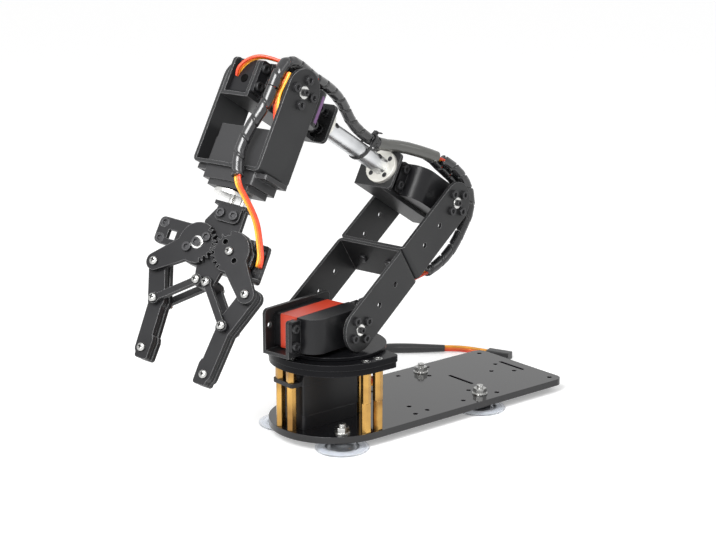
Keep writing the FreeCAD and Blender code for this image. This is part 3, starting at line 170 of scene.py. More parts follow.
# Base plate, deck layers and turntable disc. Laser-cut black acrylic sheet, polished on the plate
# and satin on the deck. The plate lies on the cups' necks; the deck is screwed on the standoffs.
acrylic, acrylic_shader = finish("black_acrylic", (0.005, 0.005, 0.006), 0.08)
acrylic_shader.inputs["IOR"].default_value = 1.49
# Painted highlight: a lighter grey on the base plate's rounded edges.
ACRYLIC_EDGE_HIGHLIGHT = (0.03, 0.03, 0.032)
add_grain(acrylic, acrylic_shader, scale=60.0, depth=0.015, dull=0.13, bright=0.05, edge_highlight=ACRYLIC_EDGE_HIGHLIGHT)
dress(acrylic, "base_plate")
satin, satin_shader = finish("satin_acrylic", (0.006, 0.006, 0.007), 0.2, specular=0.06)
# Painted highlight: a lighter grey on the rounded edges of the deck and disc.
SATIN_EDGE_HIGHLIGHT = (0.05, 0.05, 0.052)
add_grain(satin, satin_shader, scale=60.0, depth=0.015, dull=0.28, bright=0.14, edge_highlight=SATIN_EDGE_HIGHLIGHT)
dress(satin, "deck_plates", "turntable_disc")


# Standoffs. Brass hexagon bar, two pieces stacked in each column and screwed end to end.
# Sunk screws hold them from under the plate and from the deck.
BLOTCH_START = 0.40
BLOTCH_FULL = 0.66
blotch, blotch_in, blotch_out = new_group(
    "soft_blotch", [("Scale", "NodeSocketFloat")], [("Mask", "NodeSocketFloat")]
)
blotch_place = blotch.nodes.new("ShaderNodeTexCoord")
blotch_noise = blotch.nodes.new("ShaderNodeTexNoise")
blotch_noise.inputs["Detail"].default_value = 2.0
blotch_range = blotch.nodes.new("ShaderNodeMapRange")
blotch_range.inputs["From Min"].default_value = BLOTCH_START
blotch_range.inputs["From Max"].default_value = BLOTCH_FULL
blotch.links.new(blotch_place.outputs["Object"], blotch_noise.inputs["Vector"])
blotch.links.new(blotch_in.outputs["Scale"], blotch_noise.inputs["Scale"])
blotch.links.new(blotch_noise.outputs["Fac"], blotch_range.inputs["Value"])
blotch.links.new(blotch_range.outputs["Result"], blotch_out.inputs["Mask"])


def add_blotch(material, shader, scale, dark):
    group = material.node_tree.nodes.new("ShaderNodeGroup")
    group.node_tree = blotch
    group.inputs["Scale"].default_value = scale
    tint(material, shader, group.outputs["Mask"], dark)


brass, brass_shader = finish("turned_brass", (0.53, 0.315, 0.09), 0.26, metallic=1.0)
DRAWN_LENGTHWISE = (1.0, 1.0, 0.05)
add_blotch(brass, brass_shader, scale=55.0, dark=(0.26, 0.14, 0.045))
add_grain(brass, brass_shader, scale=700.0, depth=0.12, dull=0.36, bright=0.18, stretch=DRAWN_LENGTHWISE)
dress(brass, "standoffs")


# Servos. Three-part cases of black glass-filled nylon, moulded with a fine spark-eroded grain.
# They are held by the screws through their ears. The roll servo's case gets a lighter copy of the same nylon:
# painted light, as if more light fell on it.
servo_skin, servo_shader = finish("servo_nylon", (0.008, 0.008, 0.009), 0.36, specular=0.25)
# Painted highlight: a lighter grey on the cases' rounded edges.
SERVO_EDGE_HIGHLIGHT = (0.05, 0.05, 0.052)
add_grain(servo_skin, servo_shader, scale=1400.0, depth=0.06, dull=0.42, bright=0.28, edge_highlight=SERVO_EDGE_HIGHLIGHT)
dress(servo_skin, "base_servo", "shoulder_servo_case", "elbow_servo", "wrist_servo_case", "gripper_servo")
# Painted light: a lighter copy of the servo nylon for the roll servo, with a painted highlight on its rounded
# edges.
lit_roll_skin, lit_roll_shader = finish("lit_servo_nylon_painted", (0.022, 0.022, 0.023), 0.42, specular=0.35)
ROLL_EDGE_HIGHLIGHT = (0.09, 0.09, 0.092)
add_grain(lit_roll_skin, lit_roll_shader, scale=1400.0, depth=0.06, dull=0.48, bright=0.34, edge_highlight=ROLL_EDGE_HIGHLIGHT)
dress(lit_roll_skin, "roll_servo")


# Coloured parts. The shoulder servo has a red anodised middle section, clamped between its end caps.
# The wrist servo has a violet strip let into the face on its shaft side.
red_band, red_shader = finish("red_anodised", (0.66, 0.055, 0.020), 0.36)
add_grain(red_band, red_shader, scale=900.0, depth=0.06, dull=0.44, bright=0.3)
dress(red_band, "shoulder_servo_band")
violet_band, violet_shader = finish("violet_anodised", (0.16, 0.045, 0.20), 0.36)
add_grain(violet_band, violet_shader, scale=900.0, depth=0.06, dull=0.44, bright=0.3)
dress(violet_band, "wrist_servo_band")


# Brackets. Folded 2 mm aluminium sheet with a satin black coat, drilled before folding.
# They are screwed to the servos' ears and to the round horns.
coat, coat_shader = finish("black_coat", (0.019, 0.0193, 0.020), 0.42, specular=0.3)
# Painted highlight: a light grey on the brackets' rounded edges.
COAT_EDGE_HIGHLIGHT = (0.19, 0.19, 0.192)
add_blotch(coat, coat_shader, scale=40.0, dark=(0.015, 0.0152, 0.016))
add_grain(coat, coat_shader, scale=1800.0, depth=0.1, dull=0.5, bright=0.34, edge_highlight=COAT_EDGE_HIGHLIGHT)
dress(coat, "shoulder_bracket", "lower_bracket", "upper_bracket")
dress(coat, "elbow_bracket", "wrist_bracket", "wrist_fork")


# Cap screws. Steel with a black oxide skin and hexagon sockets.
# They hold the horns, the servos' ears and the flanges.
oxide, oxide_shader = finish("black_oxide", (0.035, 0.035, 0.037), 0.3, metallic=0.6)
add_grain(oxide, oxide_shader, scale=1200.0, depth=0.06, dull=0.38, bright=0.24)
dress(oxide, "shoulder_servo_screws", "upper_arm_screws", "forearm_servo_screws", "tube_screws")
dress(oxide, "wrist_horn_screws", "gripper_screws", "gear_screws")


# Horns, bearing pins and flanges. Turned aluminium, left bright, with the flanges bead-blasted.
# The horns are pressed on the servos' splined shafts and the flanges screwed to the brackets.
turned, turned_shader = finish("turned_aluminium", (0.70, 0.70, 0.68), 0.28, metallic=1.0)
add_grain(turned, turned_shader, scale=800.0, depth=0.02, dull=0.36, bright=0.2)
dress(turned, "base_horn", "shoulder_idler", "arm_horns", "forearm_idlers")
dress(turned, "wrist_horn", "roll_horn", "gripper_horn")
blasted, blasted_shader = finish("blasted_aluminium", (0.72, 0.71, 0.66), 0.5, metallic=0.85)
add_grain(blasted, blasted_shader, scale=2400.0, depth=0.05, dull=0.6, bright=0.46)
dress(blasted, "tube_flanges")


# Forearm tube. Drawn aluminium tube with a soft, slightly clouded shine.
# It slides over the flanges' spigots and a set screw at each end holds it.
drawn, drawn_shader = finish("brushed_tube", (0.66, 0.67, 0.68), 0.3, metallic=1.0)
add_blotch(drawn, drawn_shader, scale=70.0, dark=(0.50, 0.51, 0.52))
add_grain(drawn, drawn_shader, scale=420.0, depth=0.2, dull=0.42, bright=0.24)
dress(drawn, "forearm_tube")


# Gripper plates. Jaw gears, links, fingers, frame and mount are cut from dark anodised aluminium plate.
# Screws through the pivots hold the layers together with a little play.
anodised, anodised_shader = finish("dark_anodised", (0.014, 0.014, 0.015), 0.42, metallic=0.1, specular=0.16)
# Painted highlight: a light grey on the plates' rounded edges.
PLATE_EDGE_HIGHLIGHT = (0.22, 0.22, 0.222)
add_blotch(anodised, anodised_shader, scale=50.0, dark=(0.011, 0.011, 0.012))
add_grain(anodised, anodised_shader, scale=1500.0, depth=0.1, dull=0.5, bright=0.36, edge_highlight=PLATE_EDGE_HIGHLIGHT)
dress(anodised, "gripper_frame", "left_jaw_gear", "right_jaw_gear", "left_links", "right_links")
dress(anodised, "left_finger", "right_finger", "gripper_mount")


# Cross recesses of the gripper's pan-head screws, pressed into the steel heads. The crosses are near-black
# bars, painted shade for their dark inside, on a low crown that stands over each head of the pivots and
# fingertips.
def new_tree(name, sizes, directions=()):
    tree = bpy.data.node_groups.new(name, "GeometryNodeTree")
    tree.interface.new_socket("Path", in_out="INPUT", socket_type="NodeSocketGeometry")
    for label in sizes:
        tree.interface.new_socket(label, in_out="INPUT", socket_type="NodeSocketFloat")
    for label in directions:
        tree.interface.new_socket(label, in_out="INPUT", socket_type="NodeSocketVector")
    tree.interface.new_socket("Piece", in_out="OUTPUT", socket_type="NodeSocketGeometry")
    return tree, tree.nodes.new("NodeGroupInput"), tree.nodes.new("NodeGroupOutput")


def chain(tree, *nodes):
    for before, after in zip(nodes, nodes[1:]):
        tree.links.new(before.outputs[0], after.inputs[0])


def paint_node(tree, skin):
    paint = tree.nodes.new("GeometryNodeSetMaterial")
    paint.inputs["Material"].default_value = skin
    return paint


def grown(piece, tree, sizes):
    modifier = piece.modifiers.new("shape", "NODES")
    modifier.node_group = tree
    for item in tree.interface.items_tree:
        if item.in_out == "INPUT" and item.name in sizes:
            modifier[item.identifier] = sizes[item.name]
    depsgraph = bpy.context.evaluated_depsgraph_get()
    mesh = bpy.data.meshes.new_from_object(piece.evaluated_get(depsgraph))
    piece.modifiers.remove(modifier)
    bare = piece.data
    piece.data = mesh
    bpy.data.meshes.remove(bare)
    return piece


def link_frame(seat, along, across):
    x, y = Vector(along).normalized(), Vector(across).normalized()
    turn = Matrix((x, y, x.cross(y))).transposed().to_4x4()
    return Matrix.Translation(Vector(seat)) @ turn


SAME_POINT = 1e-6
SAME_HEIGHT = 1e-5


def head_tops(node, axis):
    shape = bmesh.new()
    shape.from_mesh(frame["nodes"][node].data)
    bmesh.ops.remove_doubles(shape, verts=shape.verts, dist=SAME_POINT)
    left, tops = set(shape.verts), []
    while left:
        to_visit, screw = [left.pop()], []
        while to_visit:
            vert = to_visit.pop()
            screw.append(vert.co.copy())
            beside = {edge.other_vert(vert) for edge in vert.link_edges} & left
            left -= beside
            to_visit.extend(beside)
        height = max(spot.dot(axis) for spot in screw)
        rim = [spot for spot in screw if spot.dot(axis) > height - SAME_HEIGHT]
        tops.append(sum(rim, Vector()) / len(rim))
    shape.free()
    return tops


# Painted shade: a near-black, unreflecting skin for the inside of recesses and wells.
recess_shade, recess_shade_shader = finish("painted_recess_shade", (0.006, 0.006, 0.006), 0.8, specular=0.0)
add_blotch(recess_shade, recess_shade_shader, scale=600.0, dark=(0.003, 0.003, 0.003))
heads, heads_in, heads_out = new_tree(
    "pan_heads", ["Crown Radius", "Crown Height", "Slot Length", "Slot Width"]
)
head_join = heads.nodes.new("GeometryNodeJoinGeometry")
chain(heads, head_join, heads_out)


def on_each_head(shape, skin):
    copies = heads.nodes.new("GeometryNodeInstanceOnPoints")
    heads.links.new(heads_in.outputs["Path"], copies.inputs["Points"])
    heads.links.new(shape.outputs[0], copies.inputs["Instance"])
    real = heads.nodes.new("GeometryNodeRealizeInstances")
    chain(heads, copies, real, paint_node(heads, skin), head_join)


crown = heads.nodes.new("GeometryNodeMeshUVSphere")
crown.inputs["Segments"].default_value = 20
crown.inputs["Rings"].default_value = 10
crown.inputs["Radius"].default_value = 1.0
crown_size = heads.nodes.new("ShaderNodeCombineXYZ")
crown_shape = heads.nodes.new("GeometryNodeTransform")
crown_smooth = heads.nodes.new("GeometryNodeSetShadeSmooth")
heads.links.new(heads_in.outputs["Crown Radius"], crown_size.inputs["X"])
heads.links.new(heads_in.outputs["Crown Radius"], crown_size.inputs["Y"])
heads.links.new(heads_in.outputs["Crown Height"], crown_size.inputs["Z"])
heads.links.new(crown_size.outputs["Vector"], crown_shape.inputs["Scale"])
chain(heads, crown, crown_shape, crown_smooth)
on_each_head(crown_smooth, steel)
# The slot bars carry the painted shade of the cross recesses.
for narrow_way, long_way in (("X", "Y"), ("Y", "X")):
    slot_size = heads.nodes.new("ShaderNodeCombineXYZ")
    slot_bar = heads.nodes.new("GeometryNodeMeshCube")
    slot_lift = heads.nodes.new("ShaderNodeCombineXYZ")
    slot_shape = heads.nodes.new("GeometryNodeTransform")
    heads.links.new(heads_in.outputs["Slot Width"], slot_size.inputs[narrow_way])
    heads.links.new(heads_in.outputs["Slot Length"], slot_size.inputs[long_way])
    heads.links.new(heads_in.outputs["Slot Width"], slot_size.inputs["Z"])
    heads.links.new(heads_in.outputs["Crown Height"], slot_lift.inputs["Z"])
    heads.links.new(slot_size.outputs["Vector"], slot_bar.inputs["Size"])
    heads.links.new(slot_lift.outputs["Vector"], slot_shape.inputs["Translation"])
    chain(heads, slot_bar, slot_shape)
    on_each_head(slot_shape, recess_shade)

joints = {joint["name"]: joint for joint in frame["joints"]}
HEAD_SIZES = {"Crown Radius": 0.0019, "Crown Height": 0.0005, "Slot Length": 0.0022, "Slot Width": 0.00045}
roll_axis, grip_axis = Vector(joints["wrist_roll"]["axis"]), Vector(joints["grip"]["axis"])
grip_face = link_frame(joints["grip"]["pos_m"], roll_axis, grip_axis.cross(roll_axis))
to_face = grip_face.inverted()
for node, body in (
    ("link_pins", "gripper_base"),
    ("left_finger_screws", "left_finger"),
    ("right_finger_screws", "right_finger"),
):
    spots = [to_face @ spot for spot in head_tops(node, grip_face.to_3x3().col[2])]
    mesh = bpy.data.meshes.new(node + "_heads")
    mesh.from_pydata(spots, [], [])
    piece = bpy.data.objects.new(node + "_heads", mesh)
    bpy.context.scene.collection.objects.link(piece)
    grown(piece, heads, HEAD_SIZES)
    piece.data.transform(grip_face)
    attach(piece, body)


# Servo harness. Thin leads in orange, red and yellow, bound in a black spiral wrap.
# It runs from the shoulder servo up the back of the arm, over the elbow and along the tube to the wrist.
# A grey shrink sleeve covers it between the elbow and the tube, and a branch goes to the elbow servo.
shoulder_at = Vector(joints["shoulder"]["pos_m"])
elbow_at = Vector(joints["elbow"]["pos_m"])
wrist_at = Vector(joints["wrist_pitch"]["pos_m"])
elbow_axis = joints["elbow"]["axis"]
upper_arm = link_frame(shoulder_at, elbow_at - shoulder_at, elbow_axis)
forearm = link_frame(elbow_at, wrist_at - elbow_at, elbow_axis)
wrist = link_frame(wrist_at, roll_axis, elbow_axis)


def route(name, points):
    curve = bpy.data.curves.new(name, "CURVE")
    curve.dimensions = "3D"
    line = curve.splines.new("NURBS")
    line.points.add(len(points) - 1)
    for spot, point in zip(line.points, points):
        spot.co = (*point, 1.0)
    line.order_u = 3
    line.use_endpoint_u = True
    line.resolution_u = 10
    piece = bpy.data.objects.new(name, curve)
    bpy.context.scene.collection.objects.link(piece)
    return piece


def traced(name, points):
    steered = route(name + "_route", points)
    bpy.context.view_layer.update()
    depsgraph = bpy.context.evaluated_depsgraph_get()
    mesh = bpy.data.meshes.new_from_object(steered.evaluated_get(depsgraph))
    bpy.data.objects.remove(steered)
    piece = bpy.data.objects.new(name, mesh)
    bpy.context.scene.collection.objects.link(piece)
    return piece


def laid(place, points):
    return [place @ Vector(point) for point in points]


def calc(tree, operation, *values):
    node = tree.nodes.new("ShaderNodeMath")
    node.operation = operation
    for socket, value in zip(node.inputs, values):
        if isinstance(value, bpy.types.NodeSocket):
            tree.links.new(value, socket)
        else:
            socket.default_value = value
    return node.outputs[0]


def scaled(tree, direction, length):
    node = tree.nodes.new("ShaderNodeVectorMath")
    node.operation = "SCALE"
    tree.links.new(direction, node.inputs[0])
    tree.links.new(length, node.inputs["Scale"])
    return node.outputs["Vector"]


def measured(tree, curve, label, quantity):
    keep = tree.nodes.new("GeometryNodeCaptureAttribute")
    keep.capture_items.new("FLOAT", label)
    place = tree.nodes.new("GeometryNodeSplineParameter")
    tree.links.new(curve, keep.inputs["Geometry"])
    tree.links.new(place.outputs[quantity], keep.inputs[label])
    return keep.outputs["Geometry"], keep.outputs[label]


LEAD_COLOURS = (
    ("yellow_lead", (0.88, 0.38, 0.03)),
    ("orange_lead", (0.84, 0.16, 0.016)),
    ("red_lead", (0.68, 0.055, 0.018)),
)
LEAD_SHADE = 0.8
lead_skins = []
for label, colour in LEAD_COLOURS:
    lead_skin, lead_shader = finish(label, colour, 0.38)
    add_blotch(lead_skin, lead_shader, scale=160.0, dark=[LEAD_SHADE * part for part in colour])
    add_grain(lead_skin, lead_shader, scale=900.0, depth=0.04, dull=0.44, bright=0.3)
    lead_skins.append(lead_skin)

leads, leads_in, leads_out = new_tree("servo_leads", ["Core Radius", "Spacing"], ["Side"])
lead_line = leads.nodes.new("GeometryNodeMeshToCurve")
lead_section = leads.nodes.new("GeometryNodeCurvePrimitiveCircle")
lead_section.inputs["Resolution"].default_value = 12
lead_join = leads.nodes.new("GeometryNodeJoinGeometry")
leads.links.new(leads_in.outputs["Path"], lead_line.inputs["Mesh"])
leads.links.new(leads_in.outputs["Core Radius"], lead_section.inputs["Radius"])
middle_lead = (len(lead_skins) - 1) / 2
for order, skin in enumerate(lead_skins):
    reach = calc(leads, "MULTIPLY", leads_in.outputs["Spacing"], order - middle_lead)
    moved = leads.nodes.new("GeometryNodeSetPosition")
    core = leads.nodes.new("GeometryNodeCurveToMesh")
    core.inputs["Fill Caps"].default_value = True
    smooth = leads.nodes.new("GeometryNodeSetShadeSmooth")
    real = leads.nodes.new("GeometryNodeRealizeInstances")
    leads.links.new(scaled(leads, leads_in.outputs["Side"], reach), moved.inputs["Offset"])
    leads.links.new(lead_section.outputs["Curve"], core.inputs["Profile Curve"])
    chain(leads, lead_line, moved, core, smooth, real, paint_node(leads, skin), lead_join)
chain(leads, lead_join, leads_out)

wrap_skin, wrap_shader = finish("spiral_wrap", (0.014, 0.014, 0.015), 0.24)
wrap_shader.inputs["Coat Weight"].default_value = 0.3
add_grain(wrap_skin, wrap_shader, scale=700.0, depth=0.03, dull=0.28, bright=0.18)
shrink_skin, shrink_shader = finish("shrink_sleeve", (0.070, 0.070, 0.064), 0.2)
shrink_shader.inputs["Coat Weight"].default_value = 0.4
add_grain(shrink_skin, shrink_shader, scale=500.0, depth=0.04, dull=0.26, bright=0.16)

SEAM_SHARP = 28.0
SEAM_FLAT = 2.0
SLEEVE_SWELL = 0.0004
BARE_SHRINK = -0.85
WRAP_STEP = 0.0004
harness, harness_in, harness_out = new_tree(
    "wrapped_harness",
    [
        "Radius", "Pitch", "Seam Depth", "Straight", "Bare From", "Bare To", "Sleeve From", "Sleeve To",
        "Core Radius", "Core Spacing",
    ],
    ["Side"],
)
given = harness_in.outputs
wrap_line = harness.nodes.new("GeometryNodeMeshToCurve")
wrap_chords = harness.nodes.new("GeometryNodeResampleCurve")
wrap_chords.mode = "LENGTH"
wrap_steps = harness.nodes.new("GeometryNodeResampleCurve")
wrap_steps.mode = "LENGTH"
wrap_steps.inputs["Length"].default_value = WRAP_STEP
wrap_ring = harness.nodes.new("GeometryNodeCurvePrimitiveCircle")
wrap_ring.inputs["Resolution"].default_value = 28
wrap_tube = harness.nodes.new("GeometryNodeCurveToMesh")
wrap_tube.inputs["Fill Caps"].default_value = True
harness.links.new(given["Path"], wrap_line.inputs["Mesh"])
harness.links.new(given["Straight"], wrap_chords.inputs["Length"])
harness.links.new(given["Radius"], wrap_ring.inputs["Radius"])
chain(harness, wrap_line, wrap_chords, wrap_steps)
spine, along = measured(harness, wrap_steps.outputs["Curve"], "Along", "Length")
hoop, round_part = measured(harness, wrap_ring.outputs["Curve"], "Round", "Factor")
harness.links.new(spine, wrap_tube.inputs["Curve"])
harness.links.new(hoop, wrap_tube.inputs["Profile Curve"])


def stretch_between(start, end):
    past_start = calc(harness, "GREATER_THAN", along, given[start])
    before_end = calc(harness, "LESS_THAN", along, given[end])
    return calc(harness, "MULTIPLY", past_start, before_end)


turns = calc(harness, "DIVIDE", along, given["Pitch"])
phase = calc(harness, "FRACT", calc(harness, "ADD", turns, round_part))
off_seam = calc(harness, "ABSOLUTE", calc(harness, "SUBTRACT", phase, 0.5))
groove = calc(harness, "SUBTRACT", SEAM_FLAT, calc(harness, "MULTIPLY", off_seam, SEAM_SHARP))
seam = calc(harness, "MINIMUM", calc(harness, "MAXIMUM", groove, 0.0), 1.0)
bare = stretch_between("Bare From", "Bare To")
sleeve = stretch_between("Sleeve From", "Sleeve To")
cut = calc(harness, "MULTIPLY", calc(harness, "MULTIPLY", seam, given["Seam Depth"]), -1.0)
cut = calc(harness, "MULTIPLY", cut, calc(harness, "SUBTRACT", 1.0, sleeve))
shrunk = calc(harness, "MULTIPLY", calc(harness, "MULTIPLY", given["Radius"], bare), BARE_SHRINK)
swell = calc(harness, "MULTIPLY", sleeve, SLEEVE_SWELL)
height = calc(harness, "ADD", calc(harness, "ADD", cut, shrunk), swell)
wrap_out = harness.nodes.new("GeometryNodeInputNormal")
wrap_shape = harness.nodes.new("GeometryNodeSetPosition")
wrap_smooth = harness.nodes.new("GeometryNodeSetShadeSmooth")
wrap_real = harness.nodes.new("GeometryNodeRealizeInstances")
wrap_paint = paint_node(harness, wrap_skin)
sleeve_paint = paint_node(harness, shrink_skin)
wrap_cores = harness.nodes.new("GeometryNodeGroup")
wrap_cores.node_tree = leads
wrap_join = harness.nodes.new("GeometryNodeJoinGeometry")
harness.links.new(scaled(harness, wrap_out.outputs["Normal"], height), wrap_shape.inputs["Offset"])
harness.links.new(sleeve, sleeve_paint.inputs["Selection"])
harness.links.new(given["Path"], wrap_cores.inputs["Path"])
harness.links.new(given["Core Radius"], wrap_cores.inputs["Core Radius"])
harness.links.new(given["Core Spacing"], wrap_cores.inputs["Spacing"])
harness.links.new(given["Side"], wrap_cores.inputs["Side"])
chain(harness, wrap_cores, wrap_join)
chain(harness, wrap_tube, wrap_shape, wrap_smooth, wrap_real, wrap_paint, sleeve_paint, wrap_join)
chain(harness, wrap_join, harness_out)

NOWHERE = 9.0
CORE_R = 0.0008
CORE_SPACING = 0.0014
link_side = upper_arm.to_3x3().col[1]
WRAP_SIZES = {
    "Radius": 0.0032, "Pitch": 0.0103, "Straight": 0.0072, "Seam Depth": 0.0010,
    "Core Radius": CORE_R, "Core Spacing": CORE_SPACING, "Side": link_side,
    "Bare From": NOWHERE, "Bare To": NOWHERE, "Sleeve From": NOWHERE, "Sleeve To": NOWHERE,
}


def wrapped(name, place, points, own_sizes):
    piece = grown(traced(name, laid(place, points)), harness, {**WRAP_SIZES, **own_sizes})
    return piece


SHOULDER_RUN = [
    (0.0096, -0.006, 0.00397), (0.0165, -0.006, 0.00855), (0.0255, 0.0, 0.0112),
    (0.0366, 0.0074, 0.0133), (0.047, 0.010, 0.0164),
]
shoulder_run = wrapped("shoulder_wrap", upper_arm, SHOULDER_RUN, {})
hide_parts("shoulder_harness")
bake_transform(shoulder_run)

ARM_RUN = [
    (0.047, 0.010, 0.0164), (0.05896, 0.01299, 0.01997), (0.072, 0.0155, 0.0252),
    (0.086, 0.017, 0.0276), (0.099, 0.0175, 0.0262), (0.108, 0.0175, 0.0228),
]
arm_run = wrapped("arm_wrap", upper_arm, ARM_RUN, {"Bare From": 0.0, "Bare To": 0.0235})
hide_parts("arm_harness")
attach(arm_run, "upper_arm")

ELBOW_RUN = [
    (-0.02146, 0.0175, -0.00788), (-0.0238, 0.0175, 0.0015), (-0.0172, 0.0173, 0.0132),
    (-0.002, 0.0166, 0.0196), (0.0142, 0.0155, 0.0205), (0.030, 0.0125, 0.0180),
    (0.0445, 0.0065, 0.0152), (0.054, 0.0035, 0.0115), (0.062, 0.0022, 0.0090), (0.070, 0.0018, 0.0086),
]
ELBOW_STRETCHES = {"Bare From": 0.0560, "Bare To": 0.0615, "Sleeve From": 0.0615, "Sleeve To": 0.1058}
elbow_run = wrapped("elbow_wrap", forearm, ELBOW_RUN, ELBOW_STRETCHES)
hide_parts("elbow_harness")
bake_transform(elbow_run)

WRIST_RUN = [
    (0.070, 0.0018, 0.0086), (0.079, 0.0014, 0.0088), (0.091, 0.0022, 0.0108),
    (0.1035, 0.0046, 0.0152), (0.117, 0.0072, 0.0168), (0.130, 0.0098, 0.0160), (0.143, 0.0126, 0.0142),
    (0.156, 0.0155, 0.0141), (0.1683, 0.0175, 0.0124), (0.1737, 0.018, 0.0047), (0.17312, 0.018, -0.0052),
]
wrist_run = wrapped("wrist_loop", forearm, WRIST_RUN, {"Bare From": 0.0705, "Bare To": 0.073})
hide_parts("wrist_harness")
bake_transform(wrist_run)

FORK_RUN = [
    (0.005, 0.018, 0.0172), (0.013, 0.018, 0.01688), (0.026, 0.0132, 0.0172),
    (0.036, 0.0112, 0.0172), (0.045, 0.0116, 0.017), (0.0544, 0.0156, 0.0166),
]
fork_run = wrapped("fork_wrap", wrist, FORK_RUN, {})
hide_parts("wrist_wrap")
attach(fork_run, "wrist")

ELBOW_BRANCH = [
    (0.0372, 0.0095, 0.0160), (0.0298, 0.0122, 0.0174), (0.0225, 0.0118, 0.0178), (0.0165, 0.0112, 0.0172),
    (0.011, 0.0110, 0.0168), (0.003, 0.0110, 0.0162), (-0.005, 0.0112, 0.0155), (-0.0115, 0.0114, 0.0134),
    (-0.0140, 0.0114, 0.0070),
]
elbow_branch = wrapped("elbow_branch", forearm, ELBOW_BRANCH, {"Radius": 0.0029})
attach(elbow_branch, "forearm")


# Tie on the tube. A black nylon strap, pulled through its square lock on top of the harness.
# It leans along the tube, holds the harness down on it and has a short cut tail.
STRAP_WALL = 0.0007
STRAP_WIDTH = 0.0018
STRAP_STEPS = 32
TUBE_R = 0.0053
HARNESS_R = 0.0037
HARNESS_AT = (0.0017, 0.0089)
LOCK_AT = (0.0017, 0.0138)
LOCK_SIZE = (0.00234, 0.00306, 0.00306)
LOCK_ROUNDING = 0.00036
TAIL_AT = (0.0044, 0.01434)
TAIL_SIZE = (0.0036, STRAP_WALL, 0.00144)
TAIL_ROUNDING = 0.00014
TIE_ALONG = 0.0716
TIE_LEAN = 0.42


def rounded_block(shape, middle, size, rounding):
    verts = bmesh.ops.create_cube(shape, size=1.0)["verts"]
    bmesh.ops.scale(shape, vec=size, verts=verts)
    bmesh.ops.translate(shape, vec=middle, verts=verts)
    edges = list({edge for vert in verts for edge in vert.link_edges})
    bmesh.ops.bevel(shape, geom=edges, offset=rounding, segments=3, affect="EDGES", profile=0.5)


def finished(name, shape, place, skin):
    bmesh.ops.recalc_face_normals(shape, faces=shape.faces)
    shape.transform(place)
    mesh = bpy.data.meshes.new(name)
    shape.to_mesh(mesh)
    shape.free()
    mesh.materials.append(skin)
    piece = bpy.data.objects.new(name, mesh)
    bpy.context.scene.collection.objects.link(piece)
    return piece


def strap_round(circles):
    rim = []
    for x, y, radius in circles:
        for k in range(STRAP_STEPS):
            turn = 2 * math.pi * k / STRAP_STEPS
            rim.append(Vector((x + radius * math.cos(turn), y + radius * math.sin(turn))))
    loop = [rim[k] for k in convex_hull_2d(rim)]
    shape = bmesh.new()
    rows = []
    for k, spot in enumerate(loop):
        run = loop[(k + 1) % len(loop)] - loop[k - 1]
        out = Vector((run.y, -run.x)).normalized() * STRAP_WALL
        section = [(spot, -1), (spot + out, -1), (spot + out, 1), (spot, 1)]
        rows.append([shape.verts.new((p.x, p.y, side * STRAP_WIDTH / 2)) for p, side in section])
    for k, row in enumerate(rows):
        after = rows[(k + 1) % len(rows)]
        for i in range(4):
            shape.faces.new((row[i], after[i], after[(i + 1) % 4], row[(i + 1) % 4]))
    return shape


nylon, nylon_shader = finish("black_nylon", (0.018, 0.018, 0.019), 0.4)
add_grain(nylon, nylon_shader, scale=1100.0, depth=0.08, dull=0.48, bright=0.32)
tie_shape = strap_round([(0.0, 0.0, TUBE_R), (*HARNESS_AT, HARNESS_R)])
rounded_block(tie_shape, (*LOCK_AT, 0.0), LOCK_SIZE, LOCK_ROUNDING)
rounded_block(tie_shape, (*TAIL_AT, 0.0), TAIL_SIZE, TAIL_ROUNDING)
tie_place = forearm @ Matrix(((0, -TIE_LEAN, 1, TIE_ALONG), (1, 0, 0, 0), (0, 1, 0, 0), (0, 0, 0, 1)))
tube_tie = finished("tube_tie", tie_shape, tie_place, nylon)
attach(tube_tie, "forearm")


# Gripper lead. Three bare servo leads that leave the wrap at the fork's foot.
# They pass the roll servo and end at the gripper servo.
BARE_SIZES = {"Core Radius": CORE_R, "Spacing": CORE_SPACING, "Side": link_side}
GRIPPER_RUN = [
    (0.0544, 0.0156, 0.0166), (0.05816, 0.0172, 0.01644), (0.063, 0.019, 0.0095), (0.0675, 0.0205, 0.0035),
    (0.0715, 0.0212, -0.0015), (0.076, 0.0217, -0.0052), (0.0828, 0.0234, -0.0084), (0.0885, 0.0250, -0.0104),
    (0.0930, 0.0246, -0.0114), (0.0922, 0.02242, -0.01394),
]
gripper_run = grown(traced("gripper_leads", laid(wrist, GRIPPER_RUN)), leads, BARE_SIZES)
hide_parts("gripper_lead")
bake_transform(gripper_run)


# End shell of the wrist servo. The servo's moulded end, which comes out nearly to the edge of its bracket,
# with a round screw well drawn as a dark disc, painted shade. It is part of the case and is held with it.
END_LOW = Vector((0.1655, -0.0142, -0.0096))
END_HIGH = Vector((0.1712, 0.0004, 0.0096))
END_ROUNDING = 0.0014
WELL_AT = Vector((0.1712, -0.0056, -0.0016))
WELL_R_IN = 0.0026
WELL_R_OUT = 0.0022
WELL_DEPTH = 0.0007
end_shape = bmesh.new()
rounded_block(end_shape, (END_LOW + END_HIGH) / 2, END_HIGH - END_LOW, END_ROUNDING)
end_shell = finished("wrist_servo_end", end_shape, forearm, servo_skin)
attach(end_shell, "forearm")
# Painted shade: a shallow near-black disc on the end face stands for the dark inside of the screw well.
well_shape = bmesh.new()
facing = Matrix.Translation(WELL_AT) @ Matrix.Rotation(math.pi / 2, 4, "Y")
bmesh.ops.create_cone(
    well_shape, cap_ends=True, segments=28, radius1=WELL_R_IN, radius2=WELL_R_OUT, depth=WELL_DEPTH,
    matrix=facing,
)
end_well = finished("wrist_servo_well", well_shape, forearm, recess_shade)
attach(end_well, "forearm")


